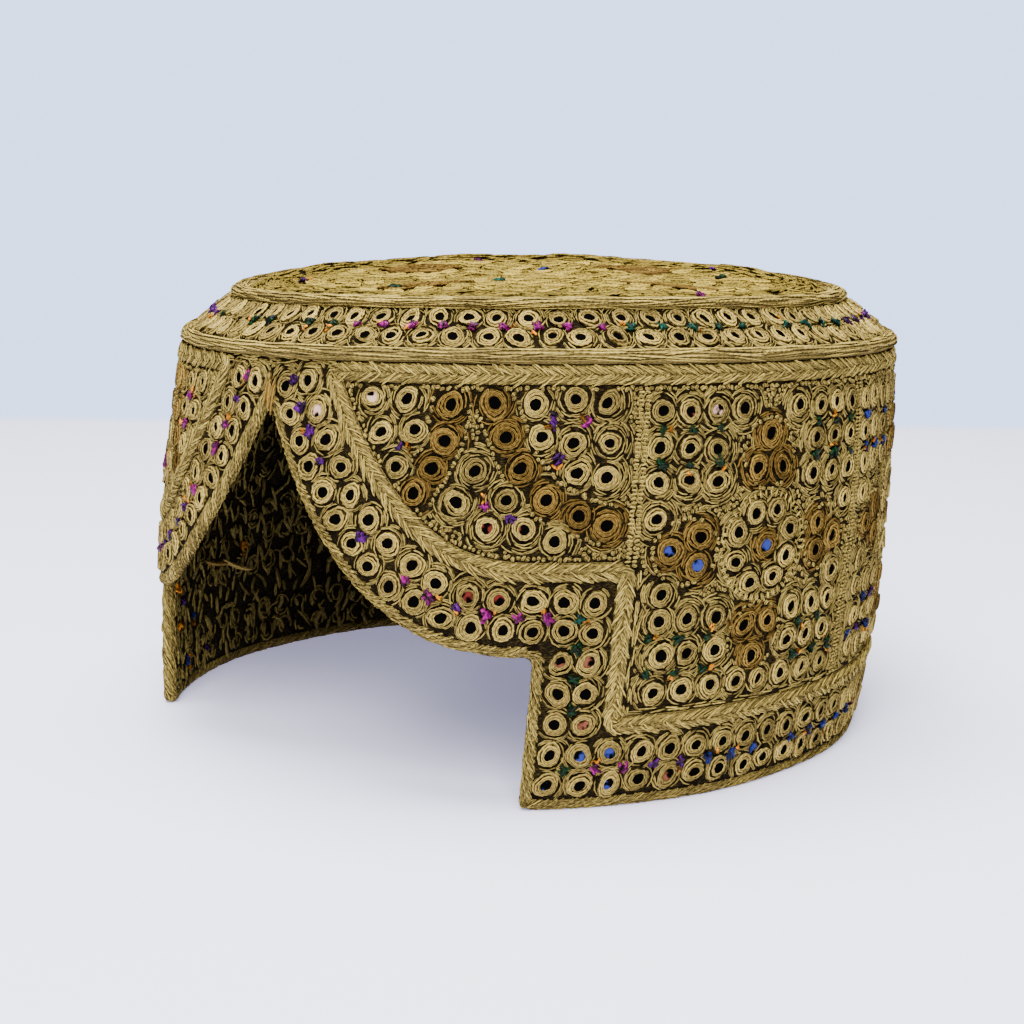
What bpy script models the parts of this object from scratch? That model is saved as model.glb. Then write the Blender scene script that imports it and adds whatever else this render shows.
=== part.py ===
"""Embroidered round cap with a scalloped brow notch, standing on its bound edge.

Metres, +Z up, the brow towards -Y. Angles run round the cap from the brow, positive towards +X.
Heights are measured up from the surface that the bound edge rests on.
"""
import math

import bmesh
import bpy
from mathutils import Matrix, Vector

# Sections of the side wall on the outer face of its cloth, from the rim to the ridge.
WALL_SECTIONS = (
    {"height": 0.0, "half_width": 0.0898, "half_depth": 0.0921, "forward": 0.0105},
    {"height": 0.0491, "half_width": 0.0936, "half_depth": 0.0947, "forward": 0.0052},
    {"height": 0.0983, "half_width": 0.0918, "half_depth": 0.0917, "forward": 0.0},
)
CENTRE_SHIFT = 0.0020
CROWN_WARP = 0.0015
CLOTH = 0.0024
GAP = 0.0003
COLUMN = math.radians(6)
SHARP_ANGLE = math.radians(50)

# The brow notch is a pointed arch that sweeps down to a square step on each side.
NOTCH_HALF = math.radians(44.4)
NOTCH_TOP = 0.0897
STEP_HEIGHT = 0.0347
NOTCH_SWEEP = 2.5
NOTCH_POINTS = 12
NOTCH_CROWDING = 1.4
STEP_ROWS = 3
UNROLL_RADIUS = 0.0935
MITRE_LIMIT = 1.5

# The whipped edge has a flat foot, and its section is given across the edge and through the wall.
BINDING_WIDTH = 0.0026
BINDING_THICK = 0.0042
BINDING_SECTION = (
    {"across": 0.0, "through": -0.3},
    {"across": 0.0, "through": 0.3},
    {"across": 0.4, "through": 0.5},
    {"across": 1.0, "through": 0.42},
    {"across": 1.0, "through": -0.42},
    {"across": 0.4, "through": -0.5},
)

# Plaited braid that frames the panels, a border's width from the bound edge.
BORDER_WIDTH = 0.019
BRAID_WIDTH = 0.0040
BRAID_THICK = 0.0012
BRAID_SECTION = (
    {"across": -1.0, "up": 0.0},
    {"across": 1.0, "up": 0.0},
    {"across": 0.8, "up": 1.0},
    {"across": -0.8, "up": 1.0},
)
BRAID_TOP = 0.0962
BRAID_STEP = 0.010

WALL_TOP = 0.0980
WALL_ROWS = 5
CORD_FOOT = WALL_TOP + GAP
CORD_TOP = 0.1015
CORD_PROUD = 0.0011
CORD_ROUNDING = 0.3

# The crown band slopes from the ridge to the crown edge. Its line is that of the eyelets' crests.
SLOPE_START = 0.0003
SLOPE_FOOT = 0.1015
SLOPE_RISE = 0.0092
SLOPE_RUN = 0.0121
SLOPE_FROM = 0.00175
SLOPE_TO = 0.0145
EYELET_RELIEF = 0.00115

CROWN_CORD_INSET = 0.0145
CROWN_CORD_HEIGHT = 0.1103
CROWN_CORD_HALF_WIDTH = 0.0024
CROWN_CORD_HALF_HEIGHT = 0.0016
CROWN_CORD_SIDES = 6

DISC_CLOTH = 0.0022
DISC_EDGE_HEIGHT = 0.1112
DISC_CENTRE_HEIGHT = 0.1146
DISC_RINGS = 4

# A thread eyelet that holds one round mirror.
EYELET_SIDES = 10
EYELET_PROFILE = (
    {"radius": 0.0028, "height": 0.0},
    {"radius": 0.0030, "height": 0.0006},
    {"radius": 0.0021, "height": 0.0013},
    {"radius": 0.00125, "height": 0.0010},
    {"radius": 0.00125, "height": 0.00045},
)

# Six equal panels stand between the two vertical braids, each with one four-petal flower.
PANELS = 6
PANEL_FROM = math.radians(56.5)
FLOWER_HEIGHT = 0.0573
PETAL_REACH = 0.025
FLOWER_MIRRORS = (
    {"name": "rosette", "aside": 0.0, "above": 0.0},
    {"name": "petal_top", "aside": 0.0, "above": PETAL_REACH},
    {"name": "petal_right", "aside": PETAL_REACH, "above": 0.0},
    {"name": "petal_bottom", "aside": 0.0, "above": -PETAL_REACH},
    {"name": "petal_left", "aside": -PETAL_REACH, "above": 0.0},
)

PALE_THREAD = (0.46, 0.35, 0.13, 1.0)
BROWN_THREAD = (0.30, 0.15, 0.04, 1.0)
DARK_GROUND = (0.11, 0.09, 0.03, 1.0)


def clear_scene():
    for item in list(bpy.data.objects):
        bpy.data.objects.remove(item, do_unlink=True)


def thread_material(name, colour, roughness):
    material = bpy.data.materials.new(name)
    material.use_nodes = True
    shader = material.node_tree.nodes["Principled BSDF"]
    shader.inputs["Base Color"].default_value = colour
    shader.inputs["Roughness"].default_value = roughness
    shader.inputs["Metallic"].default_value = 0.0
    return material


def make_object(name, mesh_data, colour, roughness=0.7):
    mesh = bpy.data.meshes.new(name)
    bmesh.ops.recalc_face_normals(mesh_data, faces=mesh_data.faces[:])
    mesh_data.to_mesh(mesh)
    mesh_data.free()
    mesh.shade_smooth()
    mesh.set_sharp_from_angle(angle=SHARP_ANGLE)
    piece = bpy.data.objects.new(name, mesh)
    bpy.context.scene.collection.objects.link(piece)
    mesh.materials.append(thread_material(name, colour, roughness))
    return piece


def wall_size(height, key):
    """A size of the wall at a height, on the parabola through the three sections."""
    low, middle, high = WALL_SECTIONS
    total = 0.0
    for this, first, second in ((low, middle, high), (middle, low, high), (high, low, middle)):
        share = (height - first["height"]) * (height - second["height"])
        share /= (this["height"] - first["height"]) * (this["height"] - second["height"])
        total += share * this[key]
    return total


def wall_point(angle, height, proud):
    """A point over the side wall, proud of the outer face of its cloth by the given distance."""
    across = wall_size(height, "half_width") + proud
    along = wall_size(height, "half_depth") + proud
    forward = wall_size(height, "forward") - CENTRE_SHIFT
    lift = CROWN_WARP * height / WALL_SECTIONS[2]["height"] * math.sin(2 * angle)
    return Vector((across * math.sin(angle), -along * math.cos(angle) - forward, height + lift))


def crown_point(angle, inset, height):
    """A point over the crown, a distance in from the outer face of the wall at the ridge."""
    ridge = WALL_SECTIONS[2]
    across = ridge["half_width"] - inset
    along = ridge["half_depth"] - inset
    lift = CROWN_WARP * across / ridge["half_width"] * math.sin(2 * angle)
    return Vector((across * math.sin(angle), CENTRE_SHIFT - along * math.cos(angle), height + lift))


def slope_point(along, below):
    """Inset and height of a point on the crown band, along its slope and below its crest line."""
    length = math.hypot(SLOPE_RUN, SLOPE_RISE)
    run = SLOPE_RUN / length
    rise = SLOPE_RISE / length
    return SLOPE_START + along * run + below * rise, SLOPE_FOOT + along * rise - below * run


def notch_height(angle):
    rise = NOTCH_TOP - STEP_HEIGHT
    return STEP_HEIGHT + rise * (1 - angle / NOTCH_HALF) ** NOTCH_SWEEP


def edge_path():
    """The cap's bound edge on the unrolled wall, from the notch's point round to the centre back."""
    path = []
    for step in range(NOTCH_POINTS + 1):
        angle = NOTCH_HALF * (step / NOTCH_POINTS) ** NOTCH_CROWDING
        path.append((angle * UNROLL_RADIUS, notch_height(angle)))
    for step in range(1, STEP_ROWS + 1):
        path.append((NOTCH_HALF * UNROLL_RADIUS, STEP_HEIGHT * (1 - step / STEP_ROWS)))
    angle = math.ceil((NOTCH_HALF + COLUMN / 3) / COLUMN) * COLUMN
    while angle < math.pi + COLUMN / 2:
        path.append((angle * UNROLL_RADIUS, 0.0))
        angle += COLUMN
    return path


def offset_path(path, distance):
    """The half path moved into the cloth by a distance, with mitred corners."""
    before = [(-path[1][0], path[1][1])] + path[:-1]
    after = path[1:] + [(2 * path[-1][0] - path[-2][0], path[-2][1])]
    moved = []
    for (x0, z0), (x1, z1), (x2, z2) in zip(before, path, after):
        first = Vector((x1 - x0, z1 - z0)).normalized()
        second = Vector((x2 - x1, z2 - z1)).normalized()
        normal = Vector((-first.y - second.y, first.x + second.x)).normalized()
        reach = min(distance / normal.dot(Vector((-first.y, first.x))), MITRE_LIMIT * distance)
        moved.append((x1 + normal.x * reach, z1 + normal.y * reach))
    return moved


def distance_to_path(place, path):
    nearest = math.inf
    for start, end in zip(path, path[1:]):
        first = Vector(start)
        side = Vector(end) - first
        share = min(max((place - first).dot(side) / side.length_squared, 0.0), 1.0)
        nearest = min(nearest, (place - first - side * share).length)
    return nearest


def mirrored(angle, height):
    """The place across the cap, where the centre front and the centre back stay where they are."""
    if min(abs(angle), abs(angle - math.pi)) < GAP:
        return angle, height
    return -angle, height


def whole_loop(half):
    """A half path from the centre front to the centre back, closed with its mirror image."""
    angles = [(along / UNROLL_RADIUS, height) for along, height in half]
    return angles + [mirrored(angle, height) for angle, height in reversed(angles[1:-1])]


def sweep_rings(rings):
    """One closed body from rings of points that follow each other round a closed loop."""
    mesh = bmesh.new()
    grid = [[mesh.verts.new(point) for point in ring] for ring in rings]
    for index, ring in enumerate(grid):
        following = grid[(index + 1) % len(grid)]
        for side in range(len(ring)):
            nearby = (side + 1) % len(ring)
            mesh.faces.new((ring[side], ring[nearby], following[nearby], following[side]))
    return mesh


def crown_ring(name, section, colour, roughness):
    """A ring round the crown, swept from a closed section of insets and heights."""
    rings = []
    for column in range(round(2 * math.pi / COLUMN)):
        rings.append([crown_point(column * COLUMN, inset, height) for inset, height in section])
    return make_object(name, sweep_rings(rings), colour, roughness)


def thick_sheet(quads, thickness):
    """A closed wall from quads of (angle, height) corners on its outer face."""
    mesh = bmesh.new()
    outer = {}
    inner = {}
    edges = set()
    for quad in quads:
        for corner in quad:
            if corner not in outer:
                outer[corner] = mesh.verts.new(wall_point(*corner, 0.0))
                inner[corner] = mesh.verts.new(wall_point(*corner, -thickness))
        mesh.faces.new([outer[corner] for corner in quad])
        mesh.faces.new([inner[corner] for corner in reversed(quad)])
        for edge in zip(quad, quad[1:] + quad[:1]):
            if edge[::-1] in edges:
                edges.remove(edge[::-1])
            else:
                edges.add(edge)
    for start, end in sorted(edges):
        mesh.faces.new((outer[end], outer[start], inner[start], inner[end]))
    return mesh


def side_wall():
    """The cloth wall, its lower edge cut to the notch and the steps."""
    lower = offset_path(edge_path(), BINDING_WIDTH + GAP)
    corner = NOTCH_POINTS
    foot = NOTCH_POINTS + STEP_ROWS
    shoulder = lower[corner][1]
    step_rows = [lower[foot - row][1] for row in range(STEP_ROWS)]
    upper_grid = []
    lower_grid = []
    for index, (along, height) in enumerate(lower[:corner + 1] + lower[foot + 1:]):
        angle = along / UNROLL_RADIUS
        if index > corner:
            height = shoulder
        rows = [height + (WALL_TOP - height) * row / WALL_ROWS for row in range(WALL_ROWS + 1)]
        upper_grid.append([(angle, row) for row in rows])
        if index >= corner:
            lower_grid.append([(angle, row) for row in step_rows + [shoulder]])
    quads = []
    for grid in (upper_grid, lower_grid):
        for near, far in zip(grid, grid[1:]):
            for row in range(len(near) - 1):
                quad = (near[row], far[row], far[row + 1], near[row + 1])
                quads.append(quad)
                quads.append(tuple(mirrored(angle, height) for angle, height in reversed(quad)))
    return make_object("side_wall", thick_sheet(quads, CLOTH), DARK_GROUND, 0.85)


def edge_binding():
    """The whipped binding along the rim, the steps and the notch, in one closed loop."""
    half = edge_path()
    middle = -CLOTH / 2
    sections = []
    for corner in BINDING_SECTION:
        loop = whole_loop(offset_path(half, corner["across"] * BINDING_WIDTH))
        proud = middle + corner["through"] * BINDING_THICK
        sections.append([wall_point(angle, height, proud) for angle, height in loop])
    return make_object("edge_binding", sweep_rings(list(zip(*sections))), PALE_THREAD, 0.6)


def refine(loop, longest):
    """A closed loop with its long sides split, so that it follows the curve of the wall."""
    refined = []
    for point, following in zip(loop, loop[1:] + loop[:1]):
        parts = math.ceil((following - point).length / longest)
        refined += [point.lerp(following, part / parts) for part in range(parts)]
    return refined


def frame_braid():
    """The plaited braid round the panels: along the notch, the steps, the hem and under the ridge."""
    edge = edge_path()
    middle = []
    for along, height in offset_path(edge, BORDER_WIDTH):
        far_enough = distance_to_path(Vector((along, height)), edge) > BORDER_WIDTH - GAP
        if far_enough and height < BRAID_TOP - BRAID_WIDTH / 2:
            middle.append((along / UNROLL_RADIUS, height))
    start = math.ceil(middle[0][0] / COLUMN + 0.5) * COLUMN
    top = []
    angle = math.pi
    while angle > start - COLUMN / 2:
        top.append((angle, BRAID_TOP))
        angle -= COLUMN
    top.append((middle[0][0] - COLUMN / 4, BRAID_TOP))
    right = top[1:] + middle[:-1]
    loop = [(math.pi, BRAID_TOP)] + right + [middle[-1]]
    loop += [(2 * math.pi - angle, height) for angle, height in reversed(right)]
    flat = refine([Vector((angle * UNROLL_RADIUS, height)) for angle, height in loop], BRAID_STEP)
    rings = []
    for index, point in enumerate(flat):
        first = (point - flat[index - 1]).normalized()
        second = (flat[(index + 1) % len(flat)] - point).normalized()
        normal = Vector((-first.y - second.y, first.x + second.x)).normalized()
        reach = min(1 / normal.dot(Vector((-first.y, first.x))), MITRE_LIMIT) * BRAID_WIDTH / 2
        ring = []
        for corner in BRAID_SECTION:
            place = point + normal * reach * corner["across"]
            proud = GAP + corner["up"] * BRAID_THICK
            ring.append(wall_point(place.x / UNROLL_RADIUS, place.y, proud))
        rings.append(ring)
    return make_object("frame_braid", sweep_rings(rings), PALE_THREAD, 0.6)


def ridge_cord():
    """Laid cords over the seam where the side wall meets the crown band."""
    height = CORD_TOP - CORD_FOOT
    section = (
        (CLOTH, CORD_FOOT),
        (0.0, CORD_FOOT),
        (-CORD_PROUD, CORD_FOOT + CORD_ROUNDING * height),
        (-CORD_PROUD, CORD_TOP - CORD_ROUNDING * height),
        (0.0, CORD_TOP),
        (CLOTH, CORD_TOP),
    )
    return crown_ring("ridge_cord", section, PALE_THREAD, 0.6)


def crown_band():
    """The sloping cloth band between the ridge and the crown."""
    top = EYELET_RELIEF
    under = EYELET_RELIEF + DISC_CLOTH
    middle = (SLOPE_FROM + SLOPE_TO) / 2
    section = (
        slope_point(SLOPE_FROM, top),
        slope_point(middle, top),
        slope_point(SLOPE_TO, top),
        slope_point(SLOPE_TO, under),
        slope_point(middle, under),
        slope_point(SLOPE_FROM, under),
    )
    return crown_ring("crown_band", section, DARK_GROUND, 0.85)


def crown_cord():
    """The wide couched cord round the flat of the crown."""
    section = []
    for side in range(CROWN_CORD_SIDES):
        turn = 2 * math.pi * side / CROWN_CORD_SIDES
        inset = CROWN_CORD_INSET - CROWN_CORD_HALF_WIDTH * math.cos(turn)
        section.append((inset, CROWN_CORD_HEIGHT + CROWN_CORD_HALF_HEIGHT * math.sin(turn)))
    return crown_ring("crown_cord", section, PALE_THREAD, 0.6)


def crown_disc():
    """The flat of the crown, a low dome of cloth."""
    edge_inset = CROWN_CORD_INSET + CROWN_CORD_HALF_WIDTH + GAP
    edge = WALL_SECTIONS[2]["half_width"] - edge_inset
    mesh = bmesh.new()
    surfaces = []
    for depth in (0.0, DISC_CLOTH):
        rings = []
        for ring in range(1, DISC_RINGS + 1):
            share = ring / DISC_RINGS
            dome = (DISC_CENTRE_HEIGHT - DISC_EDGE_HEIGHT) * (1 - share ** 2)
            height = DISC_EDGE_HEIGHT + dome - depth
            inset = WALL_SECTIONS[2]["half_width"] - edge * share
            points = []
            for column in range(round(2 * math.pi / COLUMN)):
                points.append(mesh.verts.new(crown_point(column * COLUMN, inset, height)))
            rings.append(points)
        middle = mesh.verts.new((0.0, CENTRE_SHIFT, DISC_CENTRE_HEIGHT - depth))
        surfaces.append((middle, rings))
    count = len(surfaces[0][1][0])
    for middle, rings in surfaces:
        for index in range(count):
            following = (index + 1) % count
            mesh.faces.new((middle, rings[0][index], rings[0][following]))
            for inner, outer in zip(rings, rings[1:]):
                mesh.faces.new((inner[index], outer[index], outer[following], inner[following]))
    over = surfaces[0][1][-1]
    under = surfaces[1][1][-1]
    for index in range(count):
        following = (index + 1) % count
        mesh.faces.new((over[index], under[index], under[following], over[following]))
    return make_object("crown_disc", mesh, DARK_GROUND, 0.85)


def eyelet_mesh():
    """One turned eyelet with its mirror at the bottom of the hole, standing on its foot."""
    mesh = bmesh.new()
    loops = []
    for row in EYELET_PROFILE:
        loop = []
        for side in range(EYELET_SIDES):
            turn = 2 * math.pi * side / EYELET_SIDES
            place = (row["radius"] * math.cos(turn), row["radius"] * math.sin(turn), row["height"])
            loop.append(mesh.verts.new(place))
        loops.append(loop)
    for low, high in zip(loops, loops[1:]):
        for side in range(EYELET_SIDES):
            nearby = (side + 1) % EYELET_SIDES
            mesh.faces.new((low[side], low[nearby], high[nearby], high[side]))
    mesh.faces.new(loops[0])
    mesh.faces.new(loops[-1])
    return mesh


def place_on_wall(piece, angle, height):
    """Stands a piece on the wall, its foot a gap away from the cloth."""
    step = math.radians(1)
    out = wall_point(angle, height, 1.0) - wall_point(angle, height, 0.0)
    aside = wall_point(angle + step, height, 0.0) - wall_point(angle - step, height, 0.0)
    aside.normalize()
    rise = wall_point(angle, height + GAP, 0.0) - wall_point(angle, height - GAP, 0.0)
    out = aside.cross(rise.normalized())
    above = out.cross(aside)
    turn = Matrix((aside, above, out)).transposed().to_4x4()
    sink = UNROLL_RADIUS * (1 - math.cos(COLUMN / 2))
    foot = wall_point(angle, height, 0.0) + out * (GAP + sink / 2)
    piece.matrix_world = Matrix.Translation(foot) @ turn


def flower_mirrors():
    """The main mirrors: the middle and the four petal tips of each panel's flower."""
    panel = (2 * math.pi - 2 * PANEL_FROM) / PANELS
    for number in range(PANELS):
        centre = PANEL_FROM + (number + 0.5) * panel
        for row in FLOWER_MIRRORS:
            colour = PALE_THREAD if row["name"] == "rosette" else BROWN_THREAD
            piece = make_object(f"{row['name']}_mirror_{number + 1}", eyelet_mesh(), colour)
            angle = centre + row["aside"] / UNROLL_RADIUS
            place_on_wall(piece, angle, FLOWER_HEIGHT + row["above"])


def crown_mirror():
    """The mirror at the middle of the crown."""
    piece = make_object("crown_mirror", eyelet_mesh(), PALE_THREAD)
    piece.location = (0.0, CENTRE_SHIFT, DISC_CENTRE_HEIGHT + GAP)


clear_scene()
side_wall()
edge_binding()
frame_braid()
ridge_cord()
crown_band()
crown_cord()
crown_disc()
flower_mirrors()
crown_mirror()
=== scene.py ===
import math

import bpy
import numpy as np
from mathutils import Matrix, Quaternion, Vector


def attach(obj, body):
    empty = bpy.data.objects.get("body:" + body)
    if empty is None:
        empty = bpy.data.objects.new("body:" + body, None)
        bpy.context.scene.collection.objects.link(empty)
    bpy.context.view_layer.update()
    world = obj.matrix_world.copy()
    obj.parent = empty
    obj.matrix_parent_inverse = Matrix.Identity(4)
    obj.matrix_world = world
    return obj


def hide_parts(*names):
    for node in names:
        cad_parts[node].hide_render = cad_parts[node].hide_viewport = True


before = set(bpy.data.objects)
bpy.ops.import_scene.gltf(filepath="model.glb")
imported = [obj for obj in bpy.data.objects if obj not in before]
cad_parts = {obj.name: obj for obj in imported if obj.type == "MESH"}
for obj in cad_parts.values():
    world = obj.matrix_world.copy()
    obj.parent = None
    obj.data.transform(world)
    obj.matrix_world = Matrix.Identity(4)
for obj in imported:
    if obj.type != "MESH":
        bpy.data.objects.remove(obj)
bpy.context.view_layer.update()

chance = np.random.default_rng(11)


# The camera
# The eye is just above the crown and turned to the cap's left brow, as a small still life is seen.
CAMERA_DISTANCE = 0.5337
CAMERA_HEIGHT = 0.1502
CAMERA_ROUND = math.radians(41.35)
CAMERA_DOWN = math.radians(10.663)
CAMERA_ASIDE = math.radians(-0.699)
CAMERA_ROLL = math.radians(0.441)
CAMERA_LENS = 71.23
CENTRE_SHIFT = 0.0020

camera = bpy.data.objects.new("camera", bpy.data.cameras.new("camera"))
bpy.context.scene.collection.objects.link(camera)
bpy.context.scene.camera = camera
camera.data.lens = CAMERA_LENS
camera.data.clip_start = 0.01
rightward = Vector((math.cos(CAMERA_ROUND), math.sin(CAMERA_ROUND), 0.0))
onward = Vector((-math.sin(CAMERA_ROUND), math.cos(CAMERA_ROUND), 0.0))
camera.location = Vector((0.0, CENTRE_SHIFT, CAMERA_HEIGHT)) - onward * CAMERA_DISTANCE
level = onward * math.cos(CAMERA_ASIDE) + rightward * math.sin(CAMERA_ASIDE)
sight = level * math.cos(CAMERA_DOWN) - Vector((0.0, 0.0, math.sin(CAMERA_DOWN)))
camera.rotation_mode = "QUATERNION"
camera.rotation_quaternion = sight.to_track_quat("-Z", "Y") @ Quaternion((0.0, 0.0, 1.0), CAMERA_ROLL)


# Table and light
# A matt pale table top that fades out behind the cap, under one large soft lamp overhead and a
# weaker one by the camera, in a room of even pale light.
TABLE_HALF = 0.53
TABLE_FADE = 0.03
TABLE_COLOUR = (0.84, 0.85, 0.99, 1.0)
TABLE_GLOW = (0.30, 0.29, 0.46, 1.0)
TABLE_CLOUDS = {"scale": 3.0, "darker": 0.97}
TABLE_GRAIN = {"scale": 900.0, "height": 0.03}
ROOM_COLOUR = (1.64, 2.12, 3.30, 1.0)
ROOM_GLOW = (0.37, 0.37, 0.38, 1.0)
LAMPS = (
    {"name": "overhead", "onward": 0.05, "rightward": -0.10, "height": 1.10, "size": 0.80, "watts": 33.5},
    {"name": "front", "onward": -0.95, "rightward": -0.08, "height": 0.85, "size": 0.80, "watts": 30.0},
)
LAMP_AIM = 0.06


class Wire:
    """A value that runs through the nodes of a finish, and is reckoned with as a number is."""

    def __init__(self, finish, socket):
        self.finish = finish
        self.socket = socket

    def math(self, operation, *terms):
        return self.finish.add("Math", {"operation": operation}, dict(enumerate(terms)))

    def __add__(self, other):
        return self.math("ADD", self, other)

    def __sub__(self, other):
        return self.math("SUBTRACT", self, other)

    def __rsub__(self, other):
        return self.math("SUBTRACT", other, self)

    def __mul__(self, other):
        return self.math("MULTIPLY", self, other)

    __radd__ = __add__
    __rmul__ = __mul__


class Finish:
    """The finish of one kind of surface, built up node by node."""

    def __init__(self, name, roughness):
        self.material = bpy.data.materials.new(name)
        self.material.use_nodes = True
        self.tree = self.material.node_tree
        self.shader = self.tree.nodes["Principled BSDF"]
        self.shader.inputs["Roughness"].default_value = roughness

    def plug(self, node, socket, value):
        if isinstance(value, Wire):
            self.tree.links.new(value.socket, node.inputs[socket])
        else:
            node.inputs[socket].default_value = value

    def add(self, kind, settings, inputs, output=0):
        node = self.tree.nodes.new("ShaderNode" + kind)
        for key, value in settings.items():
            if key == "stops":
                for element, (place, grey) in zip(node.color_ramp.elements, value):
                    element.position = place
                    element.color = (grey, grey, grey, 1.0)
            else:
                setattr(node, key, value)
        for socket, value in inputs.items():
            self.plug(node, socket, value)
        return Wire(self, node.outputs[output])

    def place(self):
        return self.add("TexCoord", {}, {}, "Object")

    def noise(self, place, scale, detail=2.0):
        return self.add("TexNoise", {}, {"Vector": place, "Scale": scale, "Detail": detail})

    def ramp(self, value, low, high):
        return self.add("ValToRGB", {"stops": ((low, 0.0), (high, 1.0))}, {0: value})

    def mix(self, share, first, second):
        return self.add("Mix", {"data_type": "RGBA"}, {0: share, 6: first, 7: second}, 2)

    def bump(self, height):
        self.plug(self.shader, "Normal", self.add("Bump", {}, {"Height": height, "Distance": 0.001}))


bpy.ops.object.select_all(action="DESELECT")
bpy.ops.mesh.primitive_grid_add(x_subdivisions=8, y_subdivisions=8, size=2 * TABLE_HALF)
table_top = bpy.context.object
table_top.name = "table_top"
table_top.data.transform(Quaternion((0.0, 0.0, 1.0), CAMERA_ROUND).to_matrix().to_4x4())
table_finish = Finish("matt white table", 0.75)
table_place = table_finish.add(
    "Mapping", {}, {"Vector": table_finish.place(), "Rotation": (0, 0, -CAMERA_ROUND)})
table_far = table_finish.add("SeparateXYZ", {}, {0: table_place}, "Y")
table_clouds = table_finish.noise(table_finish.place(), TABLE_CLOUDS["scale"])
table_darker = [TABLE_CLOUDS["darker"] * part for part in TABLE_COLOUR[:3]] + [1.0]
table_finish.plug(
    table_finish.shader, "Base Color", table_finish.mix(table_clouds, TABLE_COLOUR, table_darker))
table_finish.shader.inputs["Emission Color"].default_value = TABLE_GLOW
table_finish.shader.inputs["Emission Strength"].default_value = 1.0
table_finish.plug(table_finish.shader, "Alpha", (TABLE_HALF - table_far) * (1 / TABLE_FADE))
table_finish.bump(table_finish.noise(table_finish.place(), TABLE_GRAIN["scale"]) * TABLE_GRAIN["height"])
table_top.data.materials.append(table_finish.material)

for row in LAMPS:
    lamp = bpy.data.objects.new(row["name"], bpy.data.lights.new(row["name"], "AREA"))
    bpy.context.scene.collection.objects.link(lamp)
    lamp.data.size = row["size"]
    lamp.data.energy = row["watts"]
    lamp.location = onward * row["onward"] + rightward * row["rightward"] + Vector((0, 0, row["height"]))
    lamp.rotation_mode = "QUATERNION"
    lamp.rotation_quaternion = (Vector((0, 0, LAMP_AIM)) - lamp.location).to_track_quat("-Z", "Y")

room = bpy.data.worlds.new("room")
room.use_nodes = True
seen = room.node_tree.nodes.new("ShaderNodeLightPath").outputs["Is Camera Ray"]
choice = room.node_tree.nodes.new("ShaderNodeMix")
choice.data_type = "RGBA"
choice.inputs[6].default_value = ROOM_GLOW
choice.inputs[7].default_value = ROOM_COLOUR
room.node_tree.links.new(seen, choice.inputs[0])
room.node_tree.links.new(choice.outputs[2], room.node_tree.nodes["Background"].inputs["Color"])
bpy.context.scene.world = room


# Wall cloth
# The side of the cap is one strip of stiffened dark cotton, cut flat with the brow notch and its
# steps, worked all over with thread, and then closed into a ring that leans a little forward.
WALL_SECTIONS = (
    {"height": 0.0, "half_width": 0.0898, "half_depth": 0.0921, "forward": 0.0105},
    {"height": 0.0491, "half_width": 0.0936, "half_depth": 0.0947, "forward": 0.0052},
    {"height": 0.0983, "half_width": 0.0918, "half_depth": 0.0917, "forward": 0.0},
)
CROWN_WARP = 0.0015
CLOTH = 0.0024
UNROLL_RADIUS = 0.0935
HALF_ROUND = math.pi * UNROLL_RADIUS
NOTCH_HALF = math.radians(44.4) * UNROLL_RADIUS
NOTCH_TOP = 0.0897
STEP_HEIGHT = 0.0347
NOTCH_SWEEP = 2.5
WALL_TOP = 0.0988
EDGE_TURN = 0.0024
NOTCH_CUT = NOTCH_HALF + EDGE_TURN / 2
NOTCH_COLUMNS = 70
SIDE_COLUMNS = 80
STEP_ROWS = 8
UPPER_ROWS = 20
RIPPLE = 0.00035
RIPPLE_ROUND = (9, 3)
RIPPLE_UP = (40, 70)
WELD = 0.00002
# The darkest colour is the dark cloth between the stitches. It is also used as painted shade in the grooves
# of the inside thread and in the folds of the floss.
INK_AND_SHADE = (0.0034, 0.0019, 0.0007, 1.0)
OLIVE = (0.014, 0.0095, 0.0030, 1.0)
FADED = (0.052, 0.036, 0.0090, 1.0)
SHADED = (0.028, 0.022, 0.0080, 1.0)
SHADED_FADED = (0.085, 0.064, 0.019, 1.0)
MM = 0.001


def wall_size(height, key):
    low, middle, high = WALL_SECTIONS
    total = 0.0
    for this, first, second in ((low, middle, high), (middle, low, high), (high, low, middle)):
        share = (height - first["height"]) * (height - second["height"])
        total = total + share * this[key] / (
            (this["height"] - first["height"]) * (this["height"] - second["height"]))
    return total


def on_wall(along, height, proud):
    """Points over the wall: a distance round it from the brow, a height, and a distance off the cloth."""
    angle = along / UNROLL_RADIUS
    swell = np.sin(RIPPLE_ROUND[0] * angle + RIPPLE_UP[0] * height)
    swell = swell * np.sin(RIPPLE_UP[1] * height + RIPPLE_ROUND[1] * angle)
    across = wall_size(height, "half_width") + proud + RIPPLE * swell
    deep = wall_size(height, "half_depth") + proud + RIPPLE * swell
    forward = wall_size(height, "forward") - CENTRE_SHIFT
    lift = CROWN_WARP * height / WALL_SECTIONS[2]["height"] * np.sin(2 * angle)
    return np.stack((across * np.sin(angle), -deep * np.cos(angle) - forward, height + lift), -1)


def notch_height(along):
    share = np.clip(1 - np.abs(along) / NOTCH_HALF, 0.0, 1.0)
    return STEP_HEIGHT + (NOTCH_TOP - STEP_HEIGHT) * share ** NOTCH_SWEEP


def only_select(piece, wanted):
    """Selects some of a mesh's faces, points at the middle of which pass a test, in edit mode."""
    bpy.ops.object.select_all(action="DESELECT")
    bpy.context.view_layer.objects.active = piece
    piece.select_set(True)
    bpy.ops.object.mode_set(mode="EDIT")
    bpy.ops.mesh.select_mode(type="FACE")
    bpy.ops.mesh.select_all(action="DESELECT")
    bpy.ops.object.mode_set(mode="OBJECT")
    for face in piece.data.polygons:
        face.select = bool(wanted(face.center))
    bpy.ops.object.mode_set(mode="EDIT")


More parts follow.
